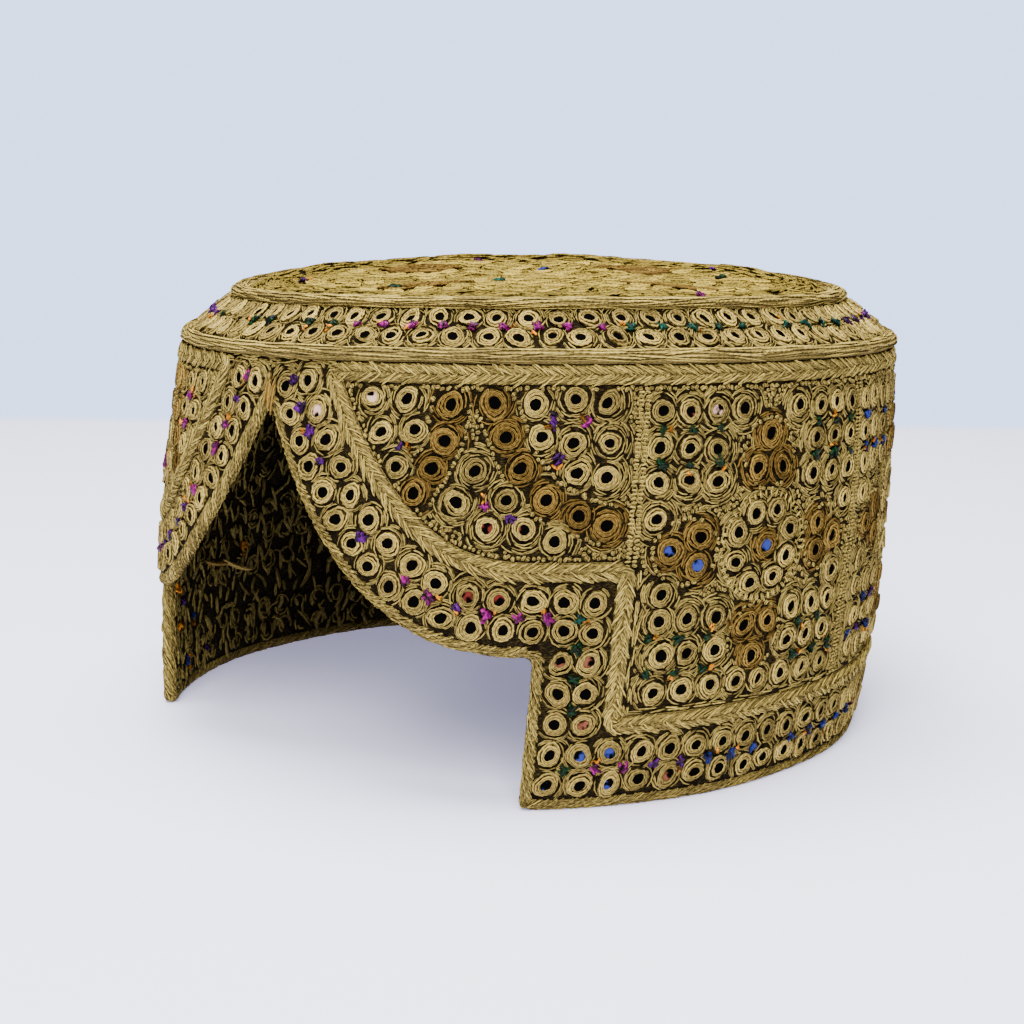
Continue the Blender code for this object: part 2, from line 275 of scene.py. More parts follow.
def lay_sheet(name, columns, rows, surface):
    """A grid bent to a surface, with its columns and rows kept as millimetres in its UVs."""
    bpy.ops.object.select_all(action="DESELECT")
    bpy.ops.mesh.primitive_grid_add(x_subdivisions=len(columns) - 1, y_subdivisions=len(rows) - 1, size=2)
    piece = bpy.context.object
    piece.name = name
    piece.data.name = name
    points = np.empty(len(piece.data.vertices) * 3)
    piece.data.vertices.foreach_get("co", points)
    points = points.reshape(-1, 3)
    across = columns[np.rint((points[:, 0] + 1) / 2 * (len(columns) - 1)).astype(int)]
    up = rows[np.rint((points[:, 1] + 1) / 2 * (len(rows) - 1)).astype(int)]
    piece.data.vertices.foreach_set("co", surface(across, up).ravel())
    corners = np.empty(len(piece.data.loops), int)
    piece.data.loops.foreach_get("vertex_index", corners)
    flat = piece.data.uv_layers[0]
    flat.name = "strand"
    flat.data.foreach_set("uv", np.stack((across, up), -1)[corners].ravel() / MM)
    return piece


def close_seams(piece):
    bpy.ops.object.select_all(action="DESELECT")
    bpy.context.view_layer.objects.active = piece
    piece.select_set(True)
    bpy.ops.object.mode_set(mode="EDIT")
    bpy.ops.mesh.select_all(action="SELECT")
    bpy.ops.mesh.remove_doubles(threshold=WELD)
    bpy.ops.object.mode_set(mode="OBJECT")
    bpy.ops.object.shade_smooth()


def thicken(piece, thickness):
    """Gives a sheet its thickness inwards, its inner face in the second material."""
    sheet = piece.modifiers.new("thickness", "SOLIDIFY")
    sheet.thickness = thickness
    sheet.offset = -1.0
    sheet.material_offset = 1
    sheet.material_offset_rim = 1
    bpy.ops.object.modifier_apply(modifier=sheet.name)


def worked_ground(name, low, middle, high, pale_share):
    """Cloth nearly hidden by short laid stitches, with dark gaps between them."""
    finish = Finish(name, 0.9)
    finish.shader.inputs["Specular IOR Level"].default_value = 0.05
    flat = finish.add("UVMap", {"uv_map": "strand"}, {})
    stretched = finish.add("Mapping", {}, {"Vector": flat, "Scale": (0.7, 2.2, 1.0)})
    crossed = finish.add("Mapping", {}, {"Vector": flat, "Rotation": (0, 0, 0.9), "Scale": (0.8, 2.4, 1.0)})
    laid = finish.add("TexVoronoi", {"feature": "DISTANCE_TO_EDGE"}, {"Vector": stretched, "Scale": 1.0})
    over = finish.add("TexVoronoi", {"feature": "DISTANCE_TO_EDGE"}, {"Vector": crossed, "Scale": 1.0})
    stitch = finish.ramp(laid.math("MAXIMUM", laid, over), 0.05, 0.35)
    patches = finish.ramp(finish.noise(finish.place(), 420.0, 3.0), 0.38, 0.38 + pale_share)
    colour = finish.mix(stitch, low, finish.mix(patches, middle, high))
    finish.plug(finish.shader, "Base Color", colour)
    finish.bump(stitch * 0.35 + finish.noise(flat, 3.0, 3.0) * 0.15)
    return finish.material


def finished(piece, *nodes):
    """Fixes a piece to the cap, and hides the solids that it stands for."""
    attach(piece, "root")
    if nodes:
        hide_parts(*nodes)
    return piece


wall_columns = np.concatenate((
    np.linspace(-HALF_ROUND, -NOTCH_CUT, SIDE_COLUMNS + 1)[:-1],
    np.linspace(-NOTCH_CUT, NOTCH_CUT, NOTCH_COLUMNS + 1),
    np.linspace(NOTCH_CUT, HALF_ROUND, SIDE_COLUMNS + 1)[1:],
))
wall_rows = np.concatenate((
    np.linspace(0.0, STEP_HEIGHT, STEP_ROWS + 1)[:-1],
    np.linspace(STEP_HEIGHT, WALL_TOP, UPPER_ROWS + 1),
))


def cut_wall(along, height):
    """The flat strip drawn up to the notch, and kept back a little inside its edge."""
    foot = notch_height(np.maximum(np.abs(along) - EDGE_TURN / 2, 0.0)) + EDGE_TURN / 2
    share = (height - STEP_HEIGHT) / (WALL_TOP - STEP_HEIGHT)
    height = np.where(height < STEP_HEIGHT, height, foot + (WALL_TOP - foot) * share)
    height = height + EDGE_TURN * np.clip(1 - height / STEP_HEIGHT, 0.0, 1.0) * (np.abs(along) > NOTCH_HALF)
    return np.stack((along, height, 0 * along), -1)


wall_cloth = lay_sheet("wall_cloth", wall_columns, wall_rows, cut_wall)
only_select(wall_cloth, lambda middle: abs(middle[0]) < NOTCH_CUT and middle[1] < notch_height(middle[0]))
bpy.ops.mesh.delete(type="FACE")
bpy.ops.object.mode_set(mode="OBJECT")
flat_points = np.empty(len(wall_cloth.data.vertices) * 3)
wall_cloth.data.vertices.foreach_get("co", flat_points)
flat_points = flat_points.reshape(-1, 3)
wall_cloth.data.vertices.foreach_set("co", on_wall(flat_points[:, 0], flat_points[:, 1], 0.0).ravel())
close_seams(wall_cloth)
wall_cloth.data.materials.append(worked_ground("worked wall", INK_AND_SHADE, OLIVE, FADED, 0.30))
wall_cloth.data.materials.append(worked_ground("wrong side", INK_AND_SHADE, SHADED, SHADED_FADED, 0.45))
thicken(wall_cloth, CLOTH)
finished(wall_cloth, "side_wall")


# Crown cloth
# A band of the same cloth slopes in from the ridge, and a round piece of it closes the top as a
# very low dome.
SLOPE_START = 0.0003
SLOPE_FOOT = 0.1015
SLOPE_RISE = 0.0092
SLOPE_RUN = 0.0121
SLOPE_LENGTH = math.hypot(SLOPE_RUN, SLOPE_RISE)
EYELET_RELIEF = 0.00115
CROWN_EDGE_INSET = 0.0150
CROWN_RADIUS = WALL_SECTIONS[2]["half_width"] - CROWN_EDGE_INSET
CROWN_EDGE_HEIGHT = 0.1108
CROWN_MIDDLE_HEIGHT = 0.1122
CROWN_RIPPLE = 0.0006
CROWN_WAVES = (110, 120)
CROWN_ROLL = {"radius": 0.0705, "spread": 0.0032, "height": 0.0016}
CROWN_GROOVE = {"radius": 0.0645, "spread": 0.0025, "height": -0.0006}
BAND_COLUMNS = 180
BAND_ROWS = 8
CROWN_COLUMNS = 120
CROWN_ROWS = 22


def on_ridge(angle, inset, height):
    """Points over the crown, by the angle, the distance in from the wall and the height."""
    across = WALL_SECTIONS[2]["half_width"] - inset
    deep = WALL_SECTIONS[2]["half_depth"] - inset
    lift = CROWN_WARP * across / WALL_SECTIONS[2]["half_width"] * np.sin(2 * angle)
    return np.stack((across * np.sin(angle), CENTRE_SHIFT - deep * np.cos(angle), height + lift), -1)


def on_band(along, up, proud):
    """Points over the sloping band, by the distance round it, up its slope and off its cloth."""
    below = EYELET_RELIEF - proud
    run = SLOPE_RUN / SLOPE_LENGTH
    rise = SLOPE_RISE / SLOPE_LENGTH
    inset = SLOPE_START + up * run + below * rise
    return on_ridge(along / UNROLL_RADIUS, inset, SLOPE_FOOT + up * rise - below * run)


def on_crown(across, back, proud):
    """Points over the flat of the crown, by their place from its middle and the distance off its cloth."""
    radius = np.hypot(across, back)
    dome = (CROWN_MIDDLE_HEIGHT - CROWN_EDGE_HEIGHT) * (1 - (radius / CROWN_RADIUS) ** 2)
    swell = CROWN_RIPPLE * np.sin(CROWN_WAVES[0] * across) * np.sin(CROWN_WAVES[1] * back)
    for row in (CROWN_ROLL, CROWN_GROOVE):
        swell = swell + row["height"] * np.exp(-((radius - row["radius"]) / row["spread"]) ** 2)
    lift = CROWN_WARP * -2 * across * back / (np.maximum(radius, MM) * WALL_SECTIONS[2]["half_width"])
    height = CROWN_EDGE_HEIGHT + dome + swell + lift + proud
    return np.stack((across, CENTRE_SHIFT + back, height), -1)


band_cloth = lay_sheet(
    "band_cloth", np.linspace(-HALF_ROUND, HALF_ROUND, BAND_COLUMNS + 1),
    np.linspace(0.0, SLOPE_LENGTH, BAND_ROWS + 1), lambda along, up: on_band(along, up, 0.0))
crown_cloth = lay_sheet(
    "crown_cloth", np.linspace(-math.pi, math.pi, CROWN_COLUMNS + 1),
    np.linspace(-CROWN_RADIUS, 0.0, CROWN_ROWS + 1),
    lambda angle, radius: on_crown(-radius * np.sin(angle), radius * np.cos(angle), 0.0))
for cloth, node in ((band_cloth, "crown_band"), (crown_cloth, "crown_disc")):
    close_seams(cloth)
    cloth.data.materials.append(bpy.data.materials["worked wall"])
    cloth.data.materials.append(bpy.data.materials["wrong side"])
    thicken(cloth, CLOTH)
    finished(cloth, node)


# Whipped edge
# The raw edge of the wall is bound all round, notch and steps too, with slanting stitches of pale
# thread over a soft core. The cap stands on this edge.
EDGE_HALF_WIDTH = 0.0015
EDGE_HALF_THICK = 0.0016
EDGE_ROUND = math.pi * (EDGE_HALF_WIDTH + EDGE_HALF_THICK)
EDGE_PITCH = 0.00095
EDGE_SLANT = 0.52
CORE_SIDES = 10
CORE_STEP = 3 * MM
CORE_SUNK = 0.00015
NOTCH_POINTS = 60
ROUTE_STEP = 0.0004
CORNER_ROUNDING = 11
# The darkest colour of each thread is painted shade, for the grooves between its strands.
PALE_GROOVE_SHADE = (0.022, 0.013, 0.003, 1.0)
PALE_BODY = (0.185, 0.133, 0.038, 1.0)
PALE_LIGHT = (0.52, 0.385, 0.096, 1.0)
RING_GROOVE_SHADE = (0.030, 0.018, 0.004, 1.0)
RING_BODY = (0.190, 0.134, 0.038, 1.0)
RING_LIGHT = (0.52, 0.378, 0.100, 1.0)
BROWN_GROOVE_SHADE = (0.014, 0.006, 0.0015, 1.0)
BROWN_BODY = (0.100, 0.057, 0.0120, 1.0)
BROWN_LIGHT = (0.29, 0.178, 0.040, 1.0)


def thread_finish(name, painted_dark, body, light):
    """Dull two-ply cotton: fine strands with painted shade in the grooves between them, and lighter and
    darker lengths.
    """
    finish = Finish(name, 0.75)
    finish.shader.inputs["Specular IOR Level"].default_value = 0.02
    flat = finish.add("UVMap", {"uv_map": "strand"}, {})
    along = finish.add("SeparateXYZ", {}, {0: flat}, "X")
    across = finish.add("SeparateXYZ", {}, {0: flat}, "Y")
    shade = finish.add("Attribute", {"attribute_name": "shade"}, {}, "Fac")
    drift = finish.noise(finish.place(), 500.0)
    wave = across * 3.3 + drift * 2.0
    strands = wave.math("COSINE", wave)
    strand = strands.math("ABSOLUTE", strands)
    twist = along * 5.0 + across * 6.0 + drift * 4.0
    ply = twist.math("SINE", twist)
    tone = shade * 0.8 + finish.noise(finish.place(), 160.0) * 0.5
    lit = finish.mix(finish.ramp(tone, 0.25, 1.0), body, light)
    # Painted shade: the grooves between the strands are darkened towards the darkest colour.
    depth = finish.ramp(strand + ply * 0.12 + finish.noise(finish.place(), 900.0) * 0.3, 0.12, 0.75)
    finish.plug(finish.shader, "Base Color", finish.mix(depth, painted_dark, lit))
    finish.bump(strand * 0.24 + ply * 0.06 + finish.noise(finish.place(), 2600.0) * 0.05)
    return finish.material


pale_thread = thread_finish("pale thread", PALE_GROOVE_SHADE, PALE_BODY, PALE_LIGHT)
ring_thread = thread_finish("ring thread", RING_GROOVE_SHADE, RING_BODY, RING_LIGHT)
brown_thread = thread_finish("brown thread", BROWN_GROOVE_SHADE, BROWN_BODY, BROWN_LIGHT)


def pattern_mesh(piece, length, width):
    """Takes a modelled pattern out of the scene and gives back its mesh, its UVs in millimetres."""
    mesh = piece.data
    flat = mesh.uv_layers[0]
    flat.name = "strand"
    for corner in flat.data:
        corner.uv = (corner.uv[0] * length / MM, corner.uv[1] * width / MM)
    bpy.data.objects.remove(piece)
    return mesh


def stitch_pattern(sides, rings):
    """One stitch a millimetre long and half a millimetre thick, lying along X with rounded ends."""
    bpy.ops.object.select_all(action="DESELECT")
    bpy.ops.mesh.primitive_uv_sphere_add(segments=sides, ring_count=rings, radius=0.5)
    piece = bpy.context.object
    for point in piece.data.vertices:
        reach = 2 * abs(point.co.z)
        full = (1 - reach ** 3) ** 0.5 if reach < 0.999 else 0.0
        around = math.hypot(point.co.x, point.co.y)
        grow = full / (2 * around) if around > 1e-6 else 0.0
        x, y, z = point.co
        point.co = (z * MM, -y * grow * MM * 0.5, x * grow * MM * 0.5)
    flat = piece.data.uv_layers[0]
    for corner in flat.data:
        corner.uv = (corner.uv[1], corner.uv[0])
    return pattern_mesh(piece, MM, 1.4 * MM)


def lay_copies(name, mesh, surface, spots, material, flat_shaded=False):
    """Joins a copy of a small pattern at each spot into one mesh that follows the surface.

    A spot has its place (u, v), and may have a lift, turn, length, width, height, bend, wobble,
    tilt, shade and tint, which is a floss's own colour and a mirror's painted reflection.
    """
    count = len(spots["u"])
    spot = {key: np.broadcast_to(spots.get(key, value), (count,))[:, None] for key, value in {
        "u": 0.0, "v": 0.0, "lift": 0.0, "turn": 0.0, "long": 1.0, "wide": 1.0, "high": 1.0,
        "bend": 0.0, "wobble": 0.0, "tilt": 0.0, "shade": 0.5}.items()}
    size = len(mesh.vertices)
    points = np.empty(size * 3)
    mesh.vertices.foreach_get("co", points)
    x, y, z = (part[None, :] for part in points.reshape(-1, 3).T)
    phase = spots.get("phase", chance.uniform(0, 2 * math.pi, (3, count)))[:, :, None]
    round_about = np.arctan2(y, x)
    swell = 1 + spot["wobble"] * (
        np.cos(2 * round_about + phase[0]) + 0.7 * np.cos(3 * round_about + phase[1])
        + 0.5 * np.cos(5 * round_about + phase[2]))
    x = x * spot["long"] * swell
    y = y * spot["wide"] * swell
    z = z * spot["high"] + spot["lift"] + spot["tilt"] * x
    bend = np.where(np.abs(spot["bend"]) < 1.0, 1.0, spot["bend"])
    curved = np.abs(spot["bend"]) >= 1.0
    bent_x = np.where(curved, (1 / bend - y) * np.sin(bend * x), x)
    bent_y = np.where(curved, 1 / bend - (1 / bend - y) * np.cos(bend * x), y)
    cosine = np.cos(spot["turn"])
    sine = np.sin(spot["turn"])
    placed = surface(
        spot["u"] + bent_x * cosine - bent_y * sine, spot["v"] + bent_x * sine + bent_y * cosine, z)
    corners = np.empty(len(mesh.loops), int)
    mesh.loops.foreach_get("vertex_index", corners)
    starts = np.empty(len(mesh.polygons), int)
    mesh.polygons.foreach_get("loop_start", starts)
    flat = np.empty(len(mesh.loops) * 2)
    mesh.uv_layers["strand"].data.foreach_get("uv", flat)
    flat = np.repeat(flat.reshape(1, -1, 2), count, 0)
    flat[:, :, 0] *= spot["long"]
    flat[:, :, 1] *= spot["wide"]
    order = np.arange(count)[:, None]
    joined = bpy.data.meshes.new(name)
    joined.vertices.add(count * size)
    joined.vertices.foreach_set("co", placed.reshape(-1).astype(np.float32))
    joined.loops.add(count * len(corners))
    joined.loops.foreach_set("vertex_index", (corners + order * size).ravel().astype(np.int32))
    joined.polygons.add(count * len(starts))
    joined.polygons.foreach_set("loop_start", (starts + order * len(corners)).ravel().astype(np.int32))
    joined.update(calc_edges=True)
    joined.uv_layers.new(name="strand").data.foreach_set("uv", flat.ravel())
    shades = joined.attributes.new("shade", "FLOAT", "POINT")
    shades.data.foreach_set("value", np.repeat(spot["shade"], size, 1).ravel())
    if "tint_and_reflection" in spots:
        tints_and_reflections = joined.attributes.new("tint_and_reflection", "FLOAT_COLOR", "POINT")
        colours = np.ones((count, size, 4))
        colours[:, :, :3] = np.asarray(spots["tint_and_reflection"])[:, None, :]
        tints_and_reflections.data.foreach_set("color", colours.ravel())
    joined.polygons.foreach_set("use_smooth", np.full(count * len(starts), not flat_shaded))
    joined.materials.append(material)
    piece = bpy.data.objects.new(name, joined)
    bpy.context.scene.collection.objects.link(piece)
    return finished(piece)


def lay_tube(name, length, surface, around, node, proud=0.0):
    """A core of pale thread that follows a surface, in place of its plain solid."""
    piece = lay_sheet(
        name, np.linspace(0.0, length, round(length / CORE_STEP) + 1),
        np.linspace(0.0, around, CORE_SIDES + 1), lambda along, turned: surface(along, turned, proud))
    close_seams(piece)
    piece.data.materials.append(pale_thread)
    return finished(piece, node)


def resample(route, step):
    """A route of points at even steps, with its length run."""
    run = np.concatenate(([0.0], np.cumsum(np.hypot(*np.diff(route, axis=0).T))))
    places = np.linspace(0.0, run[-1], round(run[-1] / step) + 1)
    return np.stack([np.interp(places, run, part) for part in route.T], -1), places


def strip_along(route):
    """The surface of a strip that follows a route on the flat wall, and the route's length."""
    route, run = resample(route, ROUTE_STEP)
    kernel = np.ones(CORNER_ROUNDING) / CORNER_ROUNDING
    padded = np.pad(route, ((CORNER_ROUNDING // 2,) * 2, (0, 0)), mode="reflect", reflect_type="odd")
    route = np.stack([np.convolve(part, kernel, "valid") for part in padded.T], -1)
    heading = np.gradient(route, axis=0)
    heading /= np.hypot(*heading.T)[:, None]

    def place(along, aside, proud):
        x, z, cosine, sine = (np.interp(along, run, part) for part in (*route.T, *heading.T))
        return on_wall(x - sine * aside, z + cosine * aside, proud)
    return place, run[-1]


notch_run = np.linspace(0.0, NOTCH_HALF, NOTCH_POINTS + 1)
half_edge = np.stack((notch_run, notch_height(notch_run)), -1)
half_edge = np.concatenate((half_edge, [(NOTCH_HALF, 0.0), (HALF_ROUND, 0.0)]))
whole_edge = np.concatenate((half_edge[:0:-1] * (-1, 1), half_edge))
edge_strip, edge_length = strip_along(whole_edge)


def round_edge(along, around, proud):
    """Points round the whipped edge, by the distance along it and around its section."""
    turn = around / EDGE_ROUND * 2 * math.pi
    aside = EDGE_HALF_WIDTH - (EDGE_HALF_WIDTH + proud) * np.cos(turn)
    out = -CLOTH / 2 + (EDGE_HALF_THICK + proud) * np.sin(turn)
    placed = edge_strip(along, aside, out)
    placed[..., 2] = np.maximum(placed[..., 2], 0.0)
    return placed


lay_tube("edge_core", edge_length, round_edge, EDGE_ROUND, "edge_binding", -CORE_SUNK)
whip_count = round(edge_length / EDGE_PITCH)
whips = (np.arange(whip_count) + chance.uniform(-0.18, 0.18, whip_count)) * edge_length / whip_count
lay_copies("edge_whipping", stitch_pattern(3, 11), round_edge, {
    "u": whips, "v": chance.normal(0.0, 0.0006, whip_count),
    "lift": chance.uniform(-0.0001, 0.0001, whip_count),
    "turn": EDGE_SLANT + chance.normal(0, 0.09, whip_count),
    "long": chance.uniform(15.0, 19.0, whip_count),
    "wide": chance.uniform(1.4, 2.2, whip_count), "high": 1.3,
    "shade": chance.uniform(0, 0.9, whip_count)}, pale_thread)


TACK_STITCHES = 9
TACK_ALONG = (-0.0004, 0.0022)
TACK_HEIGHT = NOTCH_TOP + 0.0004
lay_copies("notch_tack", stitch_pattern(3, 7), on_wall, {
    "u": np.linspace(*TACK_ALONG, TACK_STITCHES),
    "v": TACK_HEIGHT + chance.normal(0, 0.0006, TACK_STITCHES),
    "lift": 0.0008, "turn": math.pi / 2 + chance.normal(0, 0.10, TACK_STITCHES),
    "long": chance.uniform(5.0, 8.0, TACK_STITCHES), "wide": 1.4, "high": 1.8,
    "shade": chance.uniform(0, 1, TACK_STITCHES)}, brown_thread)


# Frame braid
# A plaited braid is couched a border's width inside the edge and closed under the ridge. Each
# side of it is a row of slanting stitches that meet along its middle as grains do on an ear.
BORDER_WIDTH = 0.019
BRAID_HALF = 0.0021
BRAID_HIGH = 0.0009
BRAID_CORE_HIGH = BRAID_HIGH * 0.8
BRAID_JOG = 0.0008
BRAID_TOP = 0.0962
BRAID_PITCH = 0.00092
BRAID_SLANT = 0.44


def set_in(route, distance):
    """A route moved into the cloth by a distance, with mitred corners."""
    heading = np.diff(route, axis=0)
    heading /= np.hypot(*heading.T)[:, None]
    normal = np.stack((-heading[:, 1], heading[:, 0]), -1)
    first = np.concatenate((normal[:1], normal))
    middle = first + np.concatenate((normal, normal[-1:]))
    middle /= np.hypot(*middle.T)[:, None]
    return route + middle * distance / np.sum(first * middle, 1)[:, None]


def flat_tube(surface, half_width, half_high):
    """The surface round a flattened tube that lies along a strip."""
    def place(along, around, proud):
        turn = around / (math.pi * (half_width + half_high) / 2) * math.pi
        return surface(along, -(half_width + proud) * np.cos(turn), (half_high + proud) * np.sin(turn))
    return place


half_braid = set_in(half_edge, BORDER_WIDTH)
half_braid = half_braid[half_braid[:, 1] < BRAID_TOP - MM]
braid_loop = np.concatenate((
    [(HALF_ROUND, BRAID_TOP), (half_braid[0, 0] - BRAID_JOG, BRAID_TOP)], half_braid,
    (half_braid[-2::-1] * (-1, 1)) + (2 * HALF_ROUND, 0.0),
    [(2 * HALF_ROUND - half_braid[0, 0] + BRAID_JOG, BRAID_TOP), (HALF_ROUND, BRAID_TOP)]))
braid_strip, braid_length = strip_along(braid_loop)
lay_tube("braid_core", braid_length, flat_tube(braid_strip, BRAID_HALF, BRAID_CORE_HIGH),
         math.pi * (BRAID_HALF + BRAID_CORE_HIGH), "frame_braid")

ear_count = round(braid_length / BRAID_PITCH)
ears = np.repeat(np.arange(ear_count), 2)
ear_side = np.tile((-1.0, 1.0), ear_count)
ear_bunch = np.sin(ears * 1.7 + 2.0 * np.sin(ears * 0.37) + ear_side)
lay_copies("braid_stitches", stitch_pattern(3, 5), braid_strip, {
    "u": (ears + 0.25 * ear_side + chance.uniform(-0.3, 0.3, 2 * ear_count)) * braid_length / ear_count,
    "v": ear_side * (0.50 * BRAID_HALF + 0.00018 * ear_bunch + chance.normal(0, 0.00014, 2 * ear_count)),
    "lift": 0.00066 + 0.00010 * ear_bunch + chance.normal(0, 0.00012, 2 * ear_count), "tilt": -0.12,
    "turn": ear_side * (BRAID_SLANT + 0.11 * ear_bunch + chance.normal(0, 0.09, 2 * ear_count)),
    "long": chance.uniform(3.4, 5.8, 2 * ear_count), "wide": chance.uniform(1.2, 2.1, 2 * ear_count),
    "high": 1.7, "bend": ear_side * chance.uniform(-110.0, 10.0, 2 * ear_count),
    "shade": 0.45 + 0.30 * ear_bunch + chance.normal(0, 0.18, 2 * ear_count)}, pale_thread)


# Ridge and crown cords
# Bundles of thread lie side by side over the seam at the ridge and round the flat of the crown,
# held down by fine crossing stitches.
CORD_BUNDLES = (
    {"name": "ridge_bundle", "node": "ridge_cord", "inset": 0.0008, "height": 0.0999,
     "half_width": 0.0019, "half_high": 0.0016, "rows": 8},
    {"name": "crown_bundle", "node": "crown_cord", "inset": 0.0143, "height": 0.1105,
     "half_width": 0.0024, "half_high": 0.0015, "rows": 9},
)
BUNDLE_LENGTH = 0.011


def round_ridge(row):
    around_whole = math.pi * (row["half_width"] + row["half_high"])

    def place(along, around, proud):
        turn = around / around_whole * 2 * math.pi
        return on_ridge(
            along / UNROLL_RADIUS, row["inset"] - (row["half_width"] + proud) * np.cos(turn),
            row["height"] + (row["half_high"] + proud) * np.sin(turn))
    return place, around_whole


for row in CORD_BUNDLES:
    surface, around_whole = round_ridge(row)
    lay_tube(row["name"], 2 * HALF_ROUND, surface, around_whole, row["node"])
    per_row = round(2 * HALF_ROUND / BUNDLE_LENGTH * 1.5)
    count = per_row * row["rows"]
    lane = np.repeat(np.arange(row["rows"]), per_row)
    lay_copies(row["name"] + "_strands", stitch_pattern(3, 7), surface, {
        "u": (np.tile(np.arange(per_row), row["rows"]) + chance.uniform(0, 1, count))
        * 2 * HALF_ROUND / per_row,
        "v": (lane / (row["rows"] - 1) * 0.62 - 0.06 + chance.normal(0, 0.012, count)) * around_whole,
        "lift": chance.uniform(0, 0.0002, count), "turn": chance.normal(0, 0.05, count),
        "long": chance.uniform(9.0, 15.0, count), "wide": chance.uniform(0.9, 1.5, count), "high": 1.2,
        "shade": chance.uniform(0, 1, count)}, pale_thread)


# Eyelets
# Each little mirror is held by a ring of thread wound round it several times, pale in the fields
# and borders, brown in the petals and the two brown arcs over each brow.
EYELET_TURNS = (
    {"radius": 0.00156, "lift": 0.00052, "strand": 0.00045, "stray": 0.00006},
    {"radius": 0.00202, "lift": 0.00062, "strand": 0.00046, "stray": 0.00012},
    {"radius": 0.00250, "lift": 0.00040, "strand": 0.00048, "stray": 0.00016},
)
EYELET_HOLE = 0.00135
ROW_PITCH = 0.0071
BORDER_ROWS = (0.0059, 0.0125)
PANELS = 6
PANEL_FROM = math.radians(56.5) * UNROLL_RADIUS
PANEL_WIDTH = 2 * (HALF_ROUND - PANEL_FROM) / PANELS
FLOWER_HEIGHT = 0.0573
ROSETTE_RADIUS = 0.0083
PETAL_REACH = 0.025
PETAL_PAIR = 0.0178
PETAL_ASIDE = 0.0034
FIELD_ROWS = (
    {"above": 0.0310, "start": 0.0085, "pitch": 0.00690, "count": 4},
    {"above": 0.0233, "start": 0.0149, "pitch": 0.00720, "count": 3},
    {"above": 0.0155, "start": 0.0145, "pitch": 0.00730, "count": 3},
    {"above": 0.0080, "start": 0.0287, "pitch": 0.00700, "count": 1},
    {"above": -0.0090, "start": 0.0260, "pitch": 0.00700, "count": 1},
    {"above": -0.0152, "start": 0.0113, "pitch": 0.00715, "count": 3},
    {"above": -0.0230, "start": 0.0109, "pitch": 0.00690, "count": 3},
    {"above": -0.0310, "start": 0.0036, "pitch": 0.00730, "count": 4},
)
BROW_PALE = (
    (18.7, 90.9), (23.7, 90.5), (20.4, 83.4), (25.3, 83.9), (23.2, 76.2), (34.5, 75.5), (32.2, 68.5),
    (38.6, 69.6), (36.5, 63.5), (41.6, 63.0), (45.9, 61.0), (41.6, 90.3), (46.6, 90.8), (51.2, 89.9),
    (43.0, 82.5), (47.4, 82.0), (51.8, 81.8), (47.8, 74.8), (52.2, 74.3),
)
BROW_BROWN = (
    (30.1, 89.9), (29.6, 82.2), (28.1, 76.0), (26.1, 70.4), (36.0, 90.3), (38.2, 83.1), (40.3, 76.0),
    (44.2, 69.4), (48.6, 66.0), (52.6, 63.8),
)
BAND_EYELETS = 75
BAND_EYELET_ROWS = (0.0050, 0.0113)
# The crown's thread colours are a darker, more saturated copy of the pale thread: partly its own colour,
# partly painted shade that holds back the strong light on the top.
CROWN_SHADED_BODY = (0.170, 0.120, 0.022, 1.0)
CROWN_SHADED_LIGHT = (0.45, 0.320, 0.055, 1.0)
CROWN_RINGS = 8
CROWN_PITCH = 0.00725
CROWN_BROWN = ((0.0375, 0.0036), (0.0375, -0.0036), (0.0447, 0.0037), (0.0447, -0.0037), (0.0520, 0.0))
BROWN_CLEAR = 0.0060
BROWN_SIZE = 1.08


def both_sides(places):
    return np.concatenate((places, places * (-1, 1)))


def spaced(route, pitch):
    """Even places along a route, from its start to its end."""
    length = np.hypot(*np.diff(route, axis=0).T).sum()
    return resample(route, length / max(round(length / pitch), 1))[0]


def border_row(distance):
    """One row of places along the border: down the notch, down the step and round the hem."""
    route = set_in(half_edge, distance)
    corner = len(route) - 3
    notch = route[:corner + 1]
    notch = notch[notch[:, 1] < BRAID_TOP - MM]
    runs = (notch, route[corner:corner + 2], route[corner + 1:])
    return np.concatenate([spaced(run, ROW_PITCH)[first:] for first, run in enumerate(runs[:1])]
                          + [spaced(run, ROW_PITCH)[1:] for run in runs[1:]])


def turn_pattern(radius, strand):
    """One turn of thread with a ridge along its top."""
    bpy.ops.object.select_all(action="DESELECT")
    bpy.ops.mesh.primitive_torus_add(
        major_segments=12, minor_segments=3, major_radius=radius, minor_radius=strand)
    piece = bpy.context.object
    for point in piece.data.vertices:
        around = math.hypot(point.co.x, point.co.y)
        share = (radius - point.co.z) / around
        point.co = (point.co.x * share, point.co.y * share, around - radius)
    return pattern_mesh(piece, 2 * math.pi * radius, 2 * math.pi * strand)


def wind_eyelets(name, places, surface, material, size):
    """Winds the turns of every eyelet, each a little out of true, and joins them."""
    count = len(places)
    across, up = places.T
    size = size * chance.normal(1.0, 0.04, count)
    oval = chance.normal(1.0, 0.05, count)
    shade = chance.uniform(0.2, 1, count)
    phase = chance.uniform(0, 2 * math.pi, (3, count))
    wobble = chance.uniform(0.03, 0.09, count)
    wound = []
    for row in EYELET_TURNS:
        pattern = turn_pattern(row["radius"], row["strand"])
        wound.append(lay_copies(name, pattern, surface, {
            "u": across + chance.normal(0, row["stray"], count),
            "v": up + chance.normal(0, row["stray"], count),
            "lift": row["lift"] + chance.normal(0, 0.00006, count), "turn": phase[0],
            "long": size * oval * chance.normal(1, 0.02, count),
            "wide": size / oval * chance.normal(1, 0.02, count),
            "wobble": wobble, "phase": phase + chance.normal(0, 0.7, (3, count)),
            "tilt": chance.normal(0, 0.09, count),
            "shade": shade + chance.normal(0, 0.15, count)}, material))
    bpy.ops.object.select_all(action="DESELECT")
    for piece in wound:
        piece.select_set(True)
    bpy.context.view_layer.objects.active = wound[0]
    bpy.ops.object.join()
    return wound[0]


